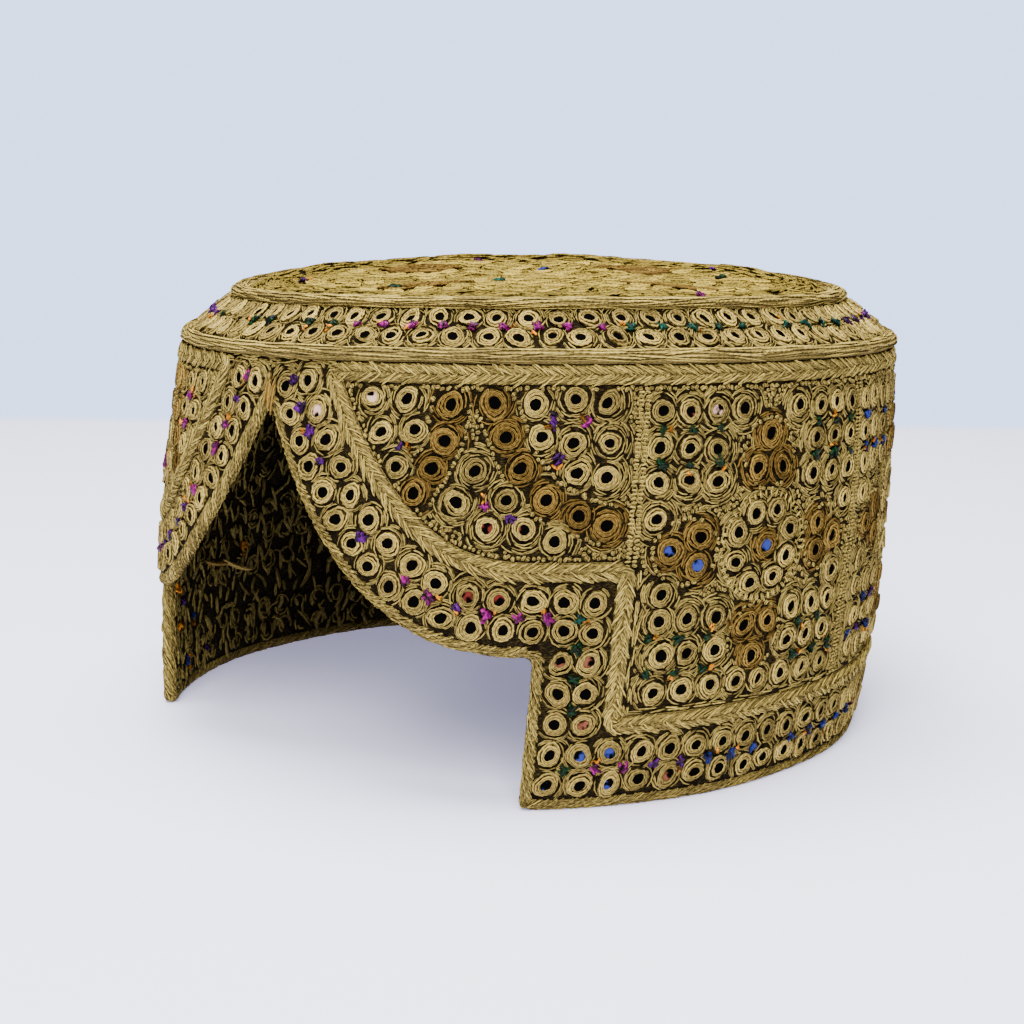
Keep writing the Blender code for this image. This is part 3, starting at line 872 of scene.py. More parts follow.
panel_middles = PANEL_FROM + (np.arange(PANELS) + 0.5) * PANEL_WIDTH
field = np.array([
    (side * (row["start"] + place * row["pitch"]), row["above"])
    for row in FIELD_ROWS for place in range(row["count"]) for side in (-1, 1)])
turns = (np.arange(8) + 0.5) * math.pi / 4
rosette = np.stack((np.cos(turns), np.sin(turns)), -1) * ROSETTE_RADIUS
petal = np.array(((PETAL_PAIR, PETAL_ASIDE), (PETAL_PAIR, -PETAL_ASIDE), (PETAL_REACH, 0.0)))
petals = np.concatenate([petal, -petal, petal[:, ::-1], -petal[:, ::-1]])


def on_each_panel(places):
    return np.concatenate([places + (middle, FLOWER_HEIGHT) for middle in panel_middles])


def from_degrees(places):
    return both_sides(np.array(places) * (math.radians(1) * UNROLL_RADIUS, MM))


def nearest(points, centres):
    """The place in the list of the nearest centre to each point, and its distance."""
    found = [np.hypot(*(part[:, None] - centres[None]).T) for part in np.array_split(points, 24)]
    return np.concatenate([gap.argmin(0) for gap in found]), np.concatenate([gap.min(0) for gap in found])


def unevenly(places):
    return places + chance.normal(0, 0.00025, places.shape)


panel_pale = unevenly(on_each_panel(np.concatenate((field, rosette))))
panel_brown = unevenly(on_each_panel(np.concatenate((petals, [(0.0, 0.0)]))))
brow_pale = unevenly(from_degrees(BROW_PALE))
brow_brown = unevenly(from_degrees(BROW_BROWN))
border_places = np.concatenate([both_sides(border_row(distance)) for distance in BORDER_ROWS])
border_places = unevenly(border_places[border_places[:, 0] > -HALF_ROUND + MM])
band_turns = (np.arange(BAND_EYELETS) + 0.5) * 2 * HALF_ROUND / BAND_EYELETS - HALF_ROUND
band_places = unevenly(np.concatenate([
    np.stack((band_turns + 0.3 * row * ROW_PITCH, np.full(BAND_EYELETS, up)), -1)
    for row, up in enumerate(BAND_EYELET_ROWS)]))
crown_petal = np.array(CROWN_BROWN)
crown_brown = np.concatenate([crown_petal, -crown_petal, crown_petal[:, ::-1], -crown_petal[:, ::-1]])
crown_pale = [np.zeros((1, 2))]
for ring in range(1, CROWN_RINGS + 1):
    ring_turns = (np.arange(6 * ring) + 0.5) * math.pi / (3 * ring)
    crown_pale.append(np.stack((np.cos(ring_turns), np.sin(ring_turns)), -1) * ring * CROWN_PITCH)
crown_pale = unevenly(np.concatenate(crown_pale))
crown_pale = crown_pale[nearest(crown_pale, crown_brown)[1] > BROWN_CLEAR]

flower_nodes = [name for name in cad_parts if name.endswith(tuple("123456"))]
# Partly painted shade: the crown gets a darker copy of the pale thread, against the strong light on the top.
crown_shaded_thread = thread_finish("crown shaded thread", PALE_GROOVE_SHADE, CROWN_SHADED_BODY, CROWN_SHADED_LIGHT)
for name, places, surface, thread, nodes in (
        ("panel_eyelets", np.concatenate((panel_pale, brow_pale)), on_wall, ring_thread, ()),
        ("petal_eyelets", np.concatenate((panel_brown, brow_brown)), on_wall, brown_thread, flower_nodes),
        ("border_eyelets", border_places, on_wall, ring_thread, ()),
        ("band_eyelets", band_places, on_band, ring_thread, ()),
        ("crown_eyelets", crown_pale, on_crown, crown_shaded_thread, ("crown_mirror",)),
        ("crown_petal_eyelets", crown_brown, on_crown, brown_thread, ())):
    size = BROWN_SIZE if thread == brown_thread else 1.0
    finished(wind_eyelets(name, places, surface, thread, size), *nodes)


# Mirrors
# Small round mirrors of thin blown glass. Their reflections are painted into their colour: black
# for the dark of the room, and blue, red or pale where they catch something else.
MIRROR_THICK = 0.0004
MIRROR_LIFT = 0.00025
MIRROR_DARK_REFLECTION = (0.0015, 0.0013, 0.0013)
MIRROR_BLUE_REFLECTION = (0.028, 0.040, 0.20)
MIRROR_RED_REFLECTION = (0.11, 0.017, 0.012)
MIRROR_ROSE_REFLECTION = (0.17, 0.058, 0.030)
MIRROR_PALE_REFLECTION = (0.60, 0.38, 0.28)
PAINTED_REFLECTION_SHARE = 0.025
CHARTED_MIDDLE = 0.070
CHARTED_HALF = 0.145
PAINTED_REFLECTIONS = (
    {"colour": MIRROR_BLUE_REFLECTION, "places": (
        (77.0, 57.4), (61.5, 57.3), (66.4, 54.0), (56.5, 12.6), (52.0, 12.4), (56.7, 5.2), (47.9, 6.0))},
    {"colour": MIRROR_RED_REFLECTION, "places": ((36.6, 63.6), (41.6, 62.8), (34.5, 48.9), (38.9, 47.3))},
    {"colour": MIRROR_ROSE_REFLECTION, "places": ((51.9, 33.6), (51.9, 19.3), (48.2, 34.0), (65.7, 5.7), (63.2, 88.2))},
    {"colour": MIRROR_PALE_REFLECTION, "places": ((18.8, 91.0), (9.6, 87.2), (67.7, 88.2))},
)


def mirror_finish():
    finish = Finish("mirror glass", 0.2)
    finish.shader.inputs["Specular IOR Level"].default_value = 0.0
    tint_and_reflection = finish.add("Attribute", {"attribute_name": "tint_and_reflection"}, {}, "Color")
    # Painted reflection: with no specular of their own, the mirrors show noise patches of black for the dark
    # of the room, and elsewhere the painted reflection colour of each.
    painted_dark = finish.ramp(finish.noise(finish.place(), 420.0), 0.44, 0.54)
    finish.plug(finish.shader, "Base Color", finish.mix(painted_dark, tint_and_reflection, MIRROR_DARK_REFLECTION + (1.0,)))
    finish.plug(finish.shader, "Roughness", finish.noise(finish.place(), 700.0) * 0.2 + 0.05)
    finish.bump(finish.noise(finish.place(), 300.0) * 0.4)
    return finish.material


def disc_pattern():
    """A thin round plate with a ground edge."""
    bpy.ops.object.select_all(action="DESELECT")
    bpy.ops.mesh.primitive_cylinder_add(vertices=8, radius=EYELET_HOLE * 1.1, depth=MIRROR_THICK)
    piece = bpy.context.object
    only_select(piece, lambda middle: middle[2] > 0.4 * MIRROR_THICK)
    bpy.ops.mesh.bevel(offset=0.1 * MM, segments=1)
    bpy.ops.object.mode_set(mode="OBJECT")
    return pattern_mesh(piece, MM, MM)


def painted_reflections(places, on_side):
    """Painted reflections: black for nearly all; on the side, the charted ones and some at the back are not.
    """
    tints_and_reflections = np.tile(MIRROR_DARK_REFLECTION, (len(places), 1))
    if not on_side:
        return tints_and_reflections
    for row in PAINTED_REFLECTIONS:
        for place in np.array(row["places"]) * (math.radians(1) * UNROLL_RADIUS, MM):
            gap = np.hypot(*(places - place).T)
            if gap.min() < 2 * MM:
                tints_and_reflections[gap.argmin()] = row["colour"]
    behind = np.flatnonzero(np.abs(places[:, 0] - CHARTED_MIDDLE) > CHARTED_HALF)
    for number in chance.choice(behind, round(PAINTED_REFLECTION_SHARE * len(behind)), replace=False):
        tints_and_reflections[number] = (MIRROR_BLUE_REFLECTION, MIRROR_RED_REFLECTION)[number % 2]
    return tints_and_reflections


mirror_glass = mirror_finish()
plate = disc_pattern()
wall_plates = np.concatenate((panel_pale, panel_brown, brow_pale, brow_brown, border_places))
for name, places, surface in (
        ("wall_mirrors", wall_plates, on_wall), ("band_mirrors", band_places, on_band),
        ("crown_mirrors", np.concatenate((crown_pale, crown_brown)), on_crown)):
    lay_copies(name, plate, surface, {
        "u": places[:, 0], "v": places[:, 1], "lift": MIRROR_LIFT,
        "tilt": chance.normal(0, 0.05, len(places)), "turn": chance.uniform(0, 6, len(places)),
        "tint_and_reflection": painted_reflections(places, surface == on_wall)}, mirror_glass, flat_shaded=True)


# Knots and bars
# Rows of tiny thread knots outline the petals, the arcs and the inner side of the braid, double
# columns of bars part the panels, and a ring of radial stitches edges each rosette.
PEARL_PITCH = 0.00112
BAR_PITCH = 0.00092
BAR_ASIDE = 0.00085
BAR_RUN = (0.0222, 0.0932)
BAR_END_FROM = 0.0548
PEARL_ASIDE = 0.0030
PEARL_OFF_EYELET = 0.0034
PEARL_OFF_BRAID = 0.0026
OUTLINE_PEARLS = 36
ROSETTE_EDGE = 0.0119
ROSETTE_STITCHES = 46
PETAL_MIDDLE = 0.0208
PETAL_HALF = (0.0080, 0.0074)
ARC_ASIDE = 0.0043


def round_again(places):
    """Places on the wall, with those near its back seam given again past it."""
    return np.concatenate((places, places - (2 * HALF_ROUND, 0), places + (2 * HALF_ROUND, 0)))


edge_points = round_again(resample(whole_edge, MM)[0])
braid_points = round_again(resample(braid_loop, MM)[0])
wall_eyelets = np.concatenate((panel_brown, brow_brown, panel_pale, brow_pale, border_places))
wall_brown = len(panel_brown) + len(brow_brown)
braid_inside = [spaced(set_in(part, PEARL_ASIDE), PEARL_PITCH) for part in (
    half_braid, np.array([(HALF_ROUND, BRAID_TOP), (half_braid[0, 0] + PEARL_ASIDE, BRAID_TOP)]))]
corner_along = half_braid[-3, 0]
braid_inside[0] = braid_inside[0][braid_inside[0][:, 0] < corner_along]
pearl_places = [both_sides(places) for places in braid_inside]
outline_turns = np.arange(OUTLINE_PEARLS) * 2 * math.pi / OUTLINE_PEARLS
petal_outline = np.stack((np.cos(outline_turns) * PETAL_HALF[0] + PETAL_MIDDLE,
                          np.sin(outline_turns) * PETAL_HALF[1]), -1)
pearl_places.append(on_each_panel(np.concatenate(
    [petal_outline, -petal_outline, petal_outline[:, ::-1], -petal_outline[:, ::-1]])))
arc_places = np.array(BROW_BROWN) * (math.radians(1) * UNROLL_RADIUS, MM)
for arc in (arc_places[:4], arc_places[4:]):
    for aside in (ARC_ASIDE, -ARC_ASIDE):
        pearl_places.append(both_sides(spaced(set_in(arc, aside), PEARL_PITCH)))
pearl_places = np.concatenate(pearl_places)
pearl_places = pearl_places[nearest(pearl_places, wall_eyelets)[1] > PEARL_OFF_EYELET]
pearl_places = pearl_places[nearest(pearl_places, braid_points)[1] > PEARL_OFF_BRAID]
pearl_count = len(pearl_places)
lay_copies("outline_knots", stitch_pattern(4, 3), on_wall, {
    "u": pearl_places[:, 0] + chance.normal(0, 0.00020, pearl_count),
    "v": pearl_places[:, 1] + chance.normal(0, 0.00020, pearl_count),
    "lift": chance.uniform(0.0001, 0.0005, pearl_count), "turn": chance.uniform(0, math.pi, pearl_count),
    "long": chance.uniform(0.85, 1.5, pearl_count),
    "wide": chance.uniform(1.6, 2.5, pearl_count), "high": 2.1,
    "shade": chance.uniform(0, 0.55, pearl_count)}, pale_thread)

bar_places = []
for divider in range(PANELS + 1):
    ends = divider in (0, PANELS)
    heights = np.arange(BAR_END_FROM if ends else BAR_RUN[0], BAR_RUN[1], BAR_PITCH)
    for side in (-1, 1):
        bar_places.append(np.stack((np.full(
            len(heights), PANEL_FROM + divider * PANEL_WIDTH + side * BAR_ASIDE), heights), -1))
bar_places = np.concatenate(bar_places)
bar_count = len(bar_places)
short_stitch = stitch_pattern(3, 4)
lay_copies("panel_bars", stitch_pattern(4, 4), on_wall, {
    "u": bar_places[:, 0] + chance.normal(0, 0.0001, bar_count), "v": bar_places[:, 1],
    "lift": 0.0004, "turn": chance.normal(0, 0.2, bar_count), "long": chance.uniform(1.2, 1.6, bar_count),
    "wide": chance.uniform(1.1, 1.5, bar_count), "high": 1.6, "shade": chance.uniform(0.3, 1, bar_count)},
    pale_thread)

edge_turns = np.arange(ROSETTE_STITCHES) * 2 * math.pi / ROSETTE_STITCHES
edge_places = on_each_panel(np.stack((np.cos(edge_turns), np.sin(edge_turns)), -1) * ROSETTE_EDGE)
edge_count = len(edge_places)
lay_copies("rosette_edging", short_stitch, on_wall, {
    "u": edge_places[:, 0], "v": edge_places[:, 1], "lift": 0.0005,
    "turn": np.tile(edge_turns, PANELS) + chance.normal(0, 0.12, edge_count),
    "long": chance.uniform(1.6, 2.2, edge_count), "wide": chance.uniform(1.4, 1.9, edge_count), "high": 1.7,
    "shade": chance.uniform(0.3, 1, edge_count)}, pale_thread)


# Filling stitches
# The ground between the eyelets is worked full of short stitches, laid in lanes that follow the
# nearest ring of thread, brown ones in the petals and arcs and pale ones elsewhere. Tiny knots
# fill what is far from any ring, and the outer part of the crown is laid round and round.
LANE_PITCH = 0.00058
LANE_START = 0.0034
LANES = 5
LANE_STITCH = 0.0037
LANE_GAPS = 0.03
KNOT_LANE_PITCH = 0.00105
KNOT_LANE_START = 0.0064
KNOT_LANES = 7
KNOT_SPACING = 0.00106
CROWN_LAID_FROM = 0.0616
CROWN_LAID_STITCH = 0.0075
CROWN_LAID_WIDER = 1.35
PETAL_PROUD = 0.0006
BAND_FILL = (0.0014, 0.0150)
BRAID_LANES = (0.0027, 0.0033)
BROW_LANES = (-0.0008, -0.0015, -0.0022)
EDGE_CLEAR = 0.0036
BRAID_CLEAR = 0.0037
BRAID_OUTSIDE_CLEAR = 0.0025
PEARL_CLEAR = 0.00070
BROWN_NEAR = 0.0056
FILL_TOP = 0.0978


def lane_radii(start, pitch, lanes):
    return start + pitch * np.arange(lanes)


def lane_spots(centres, every, radii, stitch, keep):
    """Stitches laid end to end in lanes round each centre, as far as the lanes of the next one.

    Gives the spots, the centre that each belongs to, and its distance from it.
    """
    rows = []
    for radius in radii:
        count = round(2 * math.pi * radius / stitch)
        turns = np.arange(count) + chance.uniform(0, 1, (len(centres), 1))
        turns = (turns + chance.uniform(-0.25, 0.25, turns.shape)) * 2 * math.pi / count
        rows.append(np.stack((
            np.repeat(np.arange(len(centres)), count), turns.ravel(),
            radius + chance.normal(0, 0.00008, turns.size)), -1))
    owner, turns, reach = np.concatenate(rows).T
    owner = owner.astype(int)
    points = centres[owner] + reach[:, None] * np.stack((np.cos(turns), np.sin(turns)), -1)
    kept = nearest(points, every)[0] == owner
    kept[kept] = keep(points[kept])
    kept &= chance.uniform(0, 1, len(kept)) > LANE_GAPS
    count = kept.sum()
    return {
        "u": points[kept, 0], "v": points[kept, 1], "lift": chance.uniform(0.0, 0.0004, count),
        "turn": turns[kept] + math.pi / 2 + chance.normal(0, 0.10, count), "bend": 1 / reach[kept],
        "long": chance.uniform(0.75, 1.35, count) * stitch / MM, "wide": chance.uniform(1.0, 1.7, count),
        "high": 1.5, "shade": chance.uniform(0, 0.45, count)}, owner[kept], reach[kept]


def knotted(spots):
    """The same spots with a tiny knot at each in place of a stitch."""
    count = len(spots["u"])
    spots.update({
        "turn": chance.uniform(0, math.pi, count), "bend": 0.0, "long": chance.uniform(0.8, 1.4, count),
        "wide": chance.uniform(1.5, 2.4, count), "high": 2.0, "shade": chance.uniform(0, 0.5, count)})
    return spots


def some(spots, wanted):
    return {key: value[wanted] if isinstance(value, np.ndarray) else value for key, value in spots.items()}


def on_open_wall(points):
    above = points[:, 1] > notch_height(points[:, 0]) * (np.abs(points[:, 0]) < NOTCH_HALF)
    from_edge = nearest(points, edge_points)[1]
    clear = np.where(from_edge < BORDER_WIDTH, BRAID_OUTSIDE_CLEAR, BRAID_CLEAR)
    clear = (nearest(points, braid_points)[1] > clear) & (from_edge > EDGE_CLEAR)
    return above & clear & (points[:, 1] < FILL_TOP) & (nearest(points, pearl_places)[1] > PEARL_CLEAR)


lanes = lane_radii(LANE_START, LANE_PITCH, LANES)
knot_lanes = lane_radii(KNOT_LANE_START, KNOT_LANE_PITCH, KNOT_LANES)
wall_every = round_again(wall_eyelets)
wall_fill, wall_near, wall_gap = lane_spots(wall_eyelets, wall_every, lanes, LANE_STITCH, on_open_wall)
dyed = (wall_near < wall_brown) & (wall_gap < BROWN_NEAR)
front = np.abs(wall_fill["u"]) < HALF_ROUND / 2
for name, wanted, material in (
        ("front_filling", ~dyed & front, pale_thread), ("back_filling", ~dyed & ~front, pale_thread),
        ("petal_filling", dyed, brown_thread)):
    lay_copies(name, short_stitch, on_wall, some(wall_fill, wanted), material)

wall_fill = knotted(lane_spots(wall_eyelets, wall_every, knot_lanes, KNOT_SPACING, on_open_wall)[0])
lay_copies("filling_knots", stitch_pattern(4, 3), on_wall, wall_fill, pale_thread)

band_fill = lane_spots(
    band_places, round_again(band_places), lanes, LANE_STITCH,
    lambda points: (points[:, 1] > BAND_FILL[0]) & (points[:, 1] < BAND_FILL[1]))[0]
lay_copies("band_filling", short_stitch, on_band, band_fill, pale_thread)


def on_worked_crown(points):
    return np.hypot(*points.T) < CROWN_LAID_FROM - LANE_PITCH / 2


crown_centres = np.concatenate((crown_brown, crown_pale))
crown_fill, crown_near = lane_spots(
    crown_centres, crown_centres, lanes, LANE_STITCH, on_worked_crown)[:2]
crown_dyed = crown_near < len(crown_brown)
crown_out = np.arctan2(crown_fill["v"], crown_fill["u"])
# Partly painted shade: the brown stitches of the crown's petals are made darker, against the strong light on
# the top.
crown_fill.update({"turn": np.where(crown_dyed, crown_out, crown_fill["turn"]),
                   "bend": np.where(crown_dyed, 0.0, crown_fill["bend"]),
                   "long": np.where(crown_dyed, 1.5, 1.0) * crown_fill["long"],
                   "lift": np.where(crown_dyed, PETAL_PROUD, 0.0) + crown_fill["lift"],
                   "shade": np.where(crown_dyed, 0.4, 1.0) * crown_fill["shade"]})
lay_copies("crown_filling", short_stitch, on_crown, some(crown_fill, ~crown_dyed), crown_shaded_thread)
lay_copies("crown_petal_filling", short_stitch, on_crown, some(crown_fill, crown_dyed), brown_thread)
crown_middle = np.zeros((1, 2))
crown_lanes = np.arange(CROWN_LAID_FROM, CROWN_RADIUS - LANE_PITCH, LANE_PITCH)
crown_laid = lane_spots(
    crown_middle, crown_middle, crown_lanes, CROWN_LAID_STITCH, lambda points: points[:, 0] < 1)[0]
crown_laid["wide"] = crown_laid["wide"] * CROWN_LAID_WIDER
lay_copies("crown_laid_work", stitch_pattern(3, 3), on_crown, crown_laid, crown_shaded_thread)

for name, route, places in (
        ("left_braid_lanes", half_braid[-3:], BRAID_LANES),
        ("right_braid_lanes", half_braid[-3:][::-1] * (-1, 1), BRAID_LANES),
        ("brow_lanes", half_braid[[0, 0]] * ((1, 0), (-1, 0)) + (0.0, BRAID_TOP), BROW_LANES)):
    strip, length = strip_along(route)
    per_lane = round(length / LANE_STITCH * 0.8)
    count = per_lane * len(places)
    lay_copies(name, short_stitch, strip, {
        "u": (np.tile(np.arange(per_lane), len(places)) + chance.uniform(0, 1, count)) * length / per_lane,
        "v": np.repeat(places, per_lane) + chance.normal(0, 0.00012, count),
        "lift": chance.uniform(0, 0.0004, count), "turn": chance.normal(0, 0.08, count),
        "long": chance.uniform(3.0, 6.0, count), "wide": chance.uniform(1.1, 1.7, count), "high": 1.5,
        "shade": chance.uniform(0, 0.9, count)}, pale_thread)


# Coloured bits
# Between the eyelets sit tight little knots of shiny floss, magenta, violet, green or blue from
# field to field, many with a speck of orange beside them.
FLOSS = {
    "magenta": (0.22, 0.0020, 0.130), "violet": (0.060, 0.0010, 0.110), "red": (0.15, 0.002, 0.020),
    "green": (0.0001, 0.022, 0.005), "teal": (0.0004, 0.062, 0.038), "blue": (0.010, 0.020, 0.150),
    "orange": (0.70, 0.23, 0.004),
}
PANEL_FLOSS = (
    ("green",), ("blue", "violet"), ("magenta", "violet"), ("green", "teal"), ("violet", "magenta"),
    ("green", "teal"),
)
BORDER_FLOSS = (
    {"from": 0.000, "hues": ("magenta", "violet")}, {"from": 0.052, "hues": ("violet", "magenta")},
    {"from": 0.078, "hues": ("green", "teal")}, {"from": 0.118, "hues": ("violet", "magenta")},
    {"from": 0.150, "hues": ("blue", "blue")}, {"from": 0.215, "hues": ("magenta", "violet")},
    {"from": 0.270, "hues": ("green", "teal")},
)
BAND_FLOSS = (
    {"from": -200, "hue": "magenta"}, {"from": -120, "hue": "teal"}, {"from": -75, "hue": "violet"},
    {"from": -26, "hue": "green"}, {"from": 11, "hue": "magenta"}, {"from": 53, "hue": "teal"},
    {"from": 99, "hue": "violet"}, {"from": 140, "hue": "green"},
)
BROW_FLOSS = (
    (22.7, 86.9), (23.5, 80.2), (44.2, 86.6), (48.8, 86.3), (45.3, 78.6), (49.8, 78.2), (35.8, 68.0),
    (39.3, 65.6),
)
CROWN_FLOSS = (
    {"hue": "teal", "across": 10, "back": -26}, {"hue": "violet", "across": 43, "back": -42},
    {"hue": "blue", "across": -14, "back": 18}, {"hue": "blue", "across": -25, "back": 23},
    {"hue": "magenta", "across": 70, "back": -23}, {"hue": "green", "across": 0, "back": -53},
    {"hue": "violet", "across": -41, "back": -46}, {"hue": "green", "across": 30, "back": 40},
    {"hue": "magenta", "across": -50, "back": 30}, {"hue": "violet", "across": 12, "back": 60},
)
FIELD_KNOT_START = 0.0112
FIELD_KNOT_SHIFT = {"upper": 0.5, "lower": 0.35}
FIELD_KNOTS = 3
NEXT_ROW = 0.009
NOTCH_SHRINK = 0.75
STEP_RUN = {"from": NOTCH_HALF + 0.006, "adds": 0.035}
FLOSS_LIFT = {"wall": 0.0007, "band": 0.0007, "crown": 0.0010, "inside": 0.0012}
KNOT_LOOPS = 5
KNOT_SPREAD = 0.00040
SPECK_SHARE = 0.45
SPECK_ASIDE = 0.0019


def floss_finish():
    """Shiny floss, darkened by painted shade in its folds, and with a lighter glint here and there."""
    finish = Finish("shiny floss", 0.3)
    finish.shader.inputs["Specular IOR Level"].default_value = 0.12
    tint_and_reflection = finish.add("Attribute", {"attribute_name": "tint_and_reflection"}, {}, "Color")
    # Painted shade: noise patches darken the floss to near black, for the shade in its folds.
    painted_fold_shade = finish.ramp(finish.noise(finish.place(), 900.0), 0.34, 0.56)
    finish.plug(finish.shader, "Base Color", finish.mix(painted_fold_shade, INK_AND_SHADE, tint_and_reflection))
    finish.bump(finish.noise(finish.place(), 1500.0) * 0.5)
    return finish.material


def lay_knots(name, surface, places, hues, lift, missing=0.1):
    """A knot of a few short crossing loops at each place, with a speck of orange beside some of them."""
    places = np.asarray(places)
    keep = chance.uniform(0, 1, len(places)) >= missing
    places = places[keep]
    colours = np.array([FLOSS[hue] for hue, kept in zip(hues, keep) if kept])
    speckled = chance.uniform(0, 1, len(places)) < SPECK_SHARE
    turns = chance.uniform(0, 2 * math.pi, speckled.sum())
    specks = places[speckled] + np.stack((np.cos(turns), np.sin(turns)), -1) * SPECK_ASIDE
    loops = np.concatenate((np.full(len(places), KNOT_LOOPS), np.full(len(specks), 2)))
    size = np.concatenate((chance.uniform(0.8, 1.3, len(places)), np.full(len(specks), 0.75)))
    size = np.repeat(size, loops)
    every = np.repeat(np.concatenate((places, specks)), loops, 0)
    tints_and_reflections = np.concatenate((colours, np.tile(FLOSS["orange"], (len(specks), 1))))
    tints_and_reflections = np.repeat(tints_and_reflections, loops, 0)
    count = len(every)
    return lay_copies(name, floss_loop, surface, {
        "u": every[:, 0] + chance.normal(0, KNOT_SPREAD, count),
        "v": every[:, 1] + chance.normal(0, KNOT_SPREAD, count),
        "lift": lift + chance.uniform(-0.0002, 0.0005, count), "turn": chance.uniform(0, math.pi, count),
        "long": size * chance.uniform(1.6, 2.8, count), "wide": size * chance.uniform(1.6, 2.6, count),
        "high": 2.2 * size, "bend": chance.normal(0, 300, count),
        "tint_and_reflection": tints_and_reflections * chance.uniform(0.1, 1.4, (count, 1))}, shiny_floss)


shiny_floss = floss_finish()
floss_loop = stitch_pattern(3, 4)
wall_knots = []
wall_hues = []
for number, middle in enumerate(panel_middles):
    for upper, lower in zip(FIELD_ROWS, FIELD_ROWS[1:]):
        if upper["above"] - lower["above"] < NEXT_ROW and min(upper["count"], lower["count"]) > 1:
            shift = FIELD_KNOT_SHIFT["upper" if upper["above"] > 0 else "lower"]
            above = FLOWER_HEIGHT + (upper["above"] + lower["above"]) / 2
            for place in range(FIELD_KNOTS):
                for side in (-1, 1):
                    across = FIELD_KNOT_START + ROW_PITCH * (place + shift)
                    wall_knots.append((middle + side * across, above))
                    wall_hues.append(PANEL_FLOSS[number][chance.integers(len(PANEL_FLOSS[number]))])
for place in both_sides(border_row(sum(BORDER_ROWS) / 2)):
    run = abs(place[0]) if abs(place[0]) > NOTCH_HALF else abs(place[0]) * NOTCH_SHRINK
    run += STEP_RUN["adds"] * (abs(place[0]) > STEP_RUN["from"])
    hues = [row["hues"] for row in BORDER_FLOSS if row["from"] <= run][-1]
    wall_knots.append(place)
    wall_hues.append(hues[chance.integers(2)])
brow_knots = from_degrees(BROW_FLOSS)
wall_knots += list(brow_knots)
wall_hues += [("magenta", "violet")[chance.integers(2)] for place in brow_knots]
lay_knots("wall_floss", on_wall, wall_knots, wall_hues, FLOSS_LIFT["wall"])
band_knots = np.stack((band_turns + 0.65 * ROW_PITCH, np.full(BAND_EYELETS, sum(BAND_EYELET_ROWS) / 2)), -1)
band_hues = [
    [row["hue"] for row in BAND_FLOSS if math.radians(row["from"]) * UNROLL_RADIUS <= along][-1]
    for along in band_knots[:, 0]]
lay_knots("band_floss", on_band, band_knots, band_hues, FLOSS_LIFT["band"])
lay_knots("crown_floss", on_crown, np.array([(row["across"], row["back"]) for row in CROWN_FLOSS]) * MM,
          [row["hue"] for row in CROWN_FLOSS], FLOSS_LIFT["crown"])


# Wrong side
# Inside, the backs of all these stitches show on the dark cloth: broken rings round the mirrors,
# thick upright bars where the thread was carried on, and loose ends.
BACK_PITCH = 0.0042
BACK_RADII = (0.0017, 0.0027)
BACK_GAPS = 0.35
BACK_LIFT = 0.0004
BACK_WIDER = 1.5
BACK_RUN = (0.004, 0.097)
LOOSE_ENDS = 110
SHADED_BODY = (0.19, 0.142, 0.034, 1.0)
SHADED_LIGHT = (0.44, 0.335, 0.090, 1.0)
INSIDE_FLOSS = (
    {"hue": "blue", "along": 94, "up": 19}, {"hue": "blue", "along": 87, "up": 8},
    {"hue": "violet", "along": 103, "up": 8}, {"hue": "orange", "along": 78, "up": 20},
    {"hue": "orange", "along": 90, "up": 9}, {"hue": "orange", "along": 73, "up": 31},
    {"hue": "orange", "along": 124, "up": 33}, {"hue": "violet", "along": 82, "up": 26},
)
LOOSE_STRANDS = (
    {"name": "loose_orange_strand", "along": 106, "up": 31, "turn": -0.22, "finish": brown_thread},
    {"name": "loose_pale_strand", "along": 118, "up": 28, "turn": -0.35, "finish": ring_thread},
)
LOOSE_STRAND_LIFT = 0.0030


def inside_wall(along, height, proud):
    return on_wall(-along, height, -CLOTH - proud)


def open_inside(points):
    above = points[:, 1] > notch_height(points[:, 0]) * (np.abs(points[:, 0]) < NOTCH_HALF)
    return above & (points[:, 1] > EDGE_CLEAR) & (nearest(points, edge_points)[1] > EDGE_CLEAR)


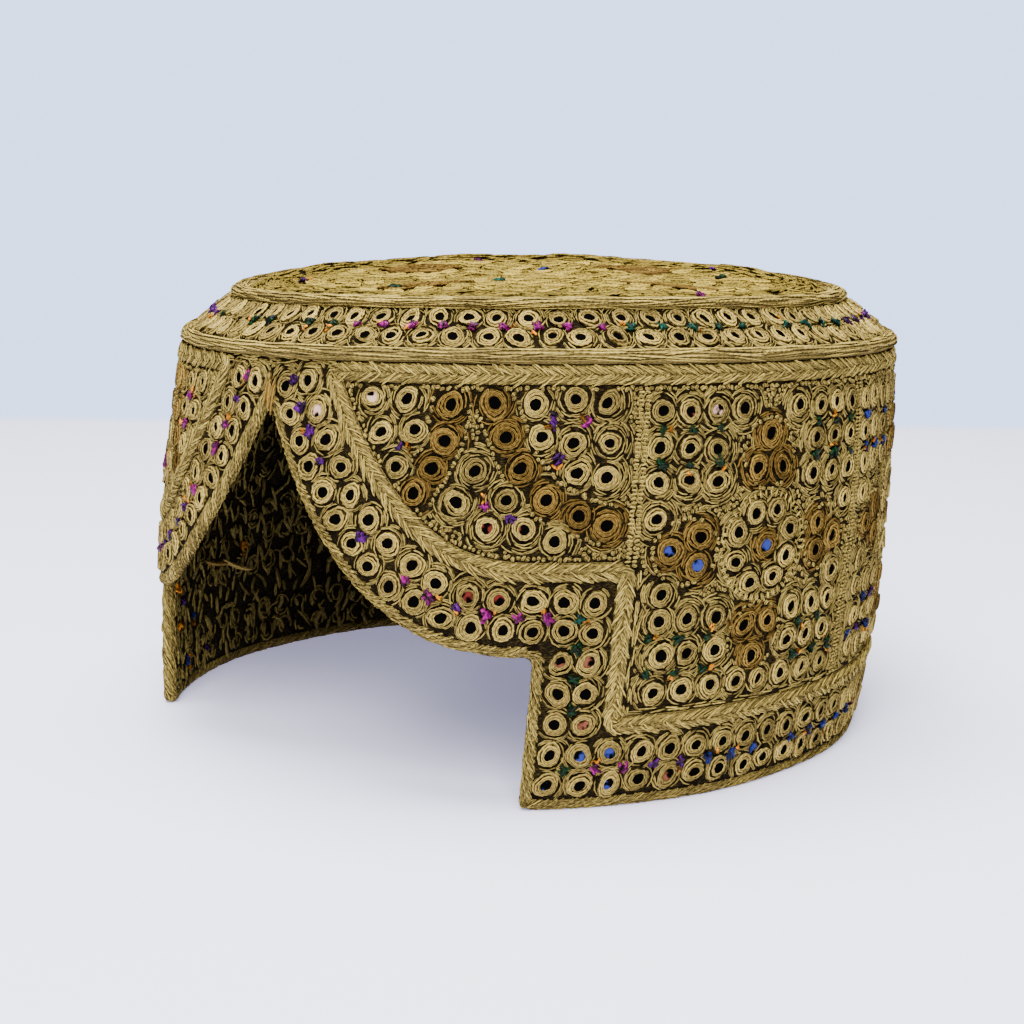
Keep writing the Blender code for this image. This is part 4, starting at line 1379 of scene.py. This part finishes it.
shaded_thread = thread_finish("shaded thread", INK_AND_SHADE, SHADED_BODY, SHADED_LIGHT)
back_rings = lane_spots(
    wall_eyelets * (-1, 1), wall_every * (-1, 1), BACK_RADII, LANE_STITCH,
    lambda points: open_inside(points) & (chance.uniform(0, 1, len(points)) > BACK_GAPS))[0]
back_rings.update({"lift": back_rings["lift"] + BACK_LIFT, "wide": back_rings["wide"] * BACK_WIDER})
lay_copies("back_rings", short_stitch, inside_wall, back_rings, shaded_thread)

back_grid = np.meshgrid(
    np.arange(-HALF_ROUND, HALF_ROUND, BACK_PITCH), np.arange(*BACK_RUN, BACK_PITCH))
back_places = np.stack(back_grid, -1).reshape(-1, 2)
back_places += chance.uniform(-0.5, 0.5, back_places.shape) * BACK_PITCH
back_places = back_places[open_inside(back_places)]
back_count = len(back_places)
lay_copies("back_stitches", short_stitch, inside_wall, {
    "u": back_places[:, 0], "v": back_places[:, 1], "lift": chance.uniform(0, 0.0008, back_count),
    "turn": chance.normal(math.pi / 2, 0.45, back_count), "bend": chance.normal(0, 150, back_count),
    "long": chance.uniform(3.0, 8.0, back_count), "wide": chance.uniform(2.0, 4.2, back_count), "high": 2.2,
    "shade": chance.uniform(0, 0.8, back_count)}, shaded_thread)
ends = back_places[chance.choice(back_count, LOOSE_ENDS, replace=False)]
lay_copies("loose_ends", stitch_pattern(3, 10), inside_wall, {
    "u": ends[:, 0], "v": ends[:, 1], "lift": chance.uniform(0.0008, 0.0022, LOOSE_ENDS),
    "tilt": chance.uniform(0.0, 0.25, LOOSE_ENDS), "turn": chance.uniform(0, 2 * math.pi, LOOSE_ENDS),
    "bend": chance.normal(0, 160, LOOSE_ENDS), "long": chance.uniform(5, 11, LOOSE_ENDS),
    "wide": chance.uniform(0.6, 0.9, LOOSE_ENDS), "high": 0.8,
    "shade": chance.uniform(0.2, 1, LOOSE_ENDS)}, shaded_thread)


lay_knots(
    "inside_floss", inside_wall, np.array([(row["along"], row["up"]) for row in INSIDE_FLOSS]) * MM,
    [row["hue"] for row in INSIDE_FLOSS], FLOSS_LIFT["inside"], missing=0.0)
for row in LOOSE_STRANDS:
    lay_copies(row["name"], stitch_pattern(6, 11), inside_wall, {
        "u": np.array([row["along"] * MM]), "v": row["up"] * MM, "lift": LOOSE_STRAND_LIFT,
        "turn": row["turn"], "long": 17.0, "wide": 2.6, "high": 2.2, "bend": 15.0, "shade": 1.0},
        row["finish"])
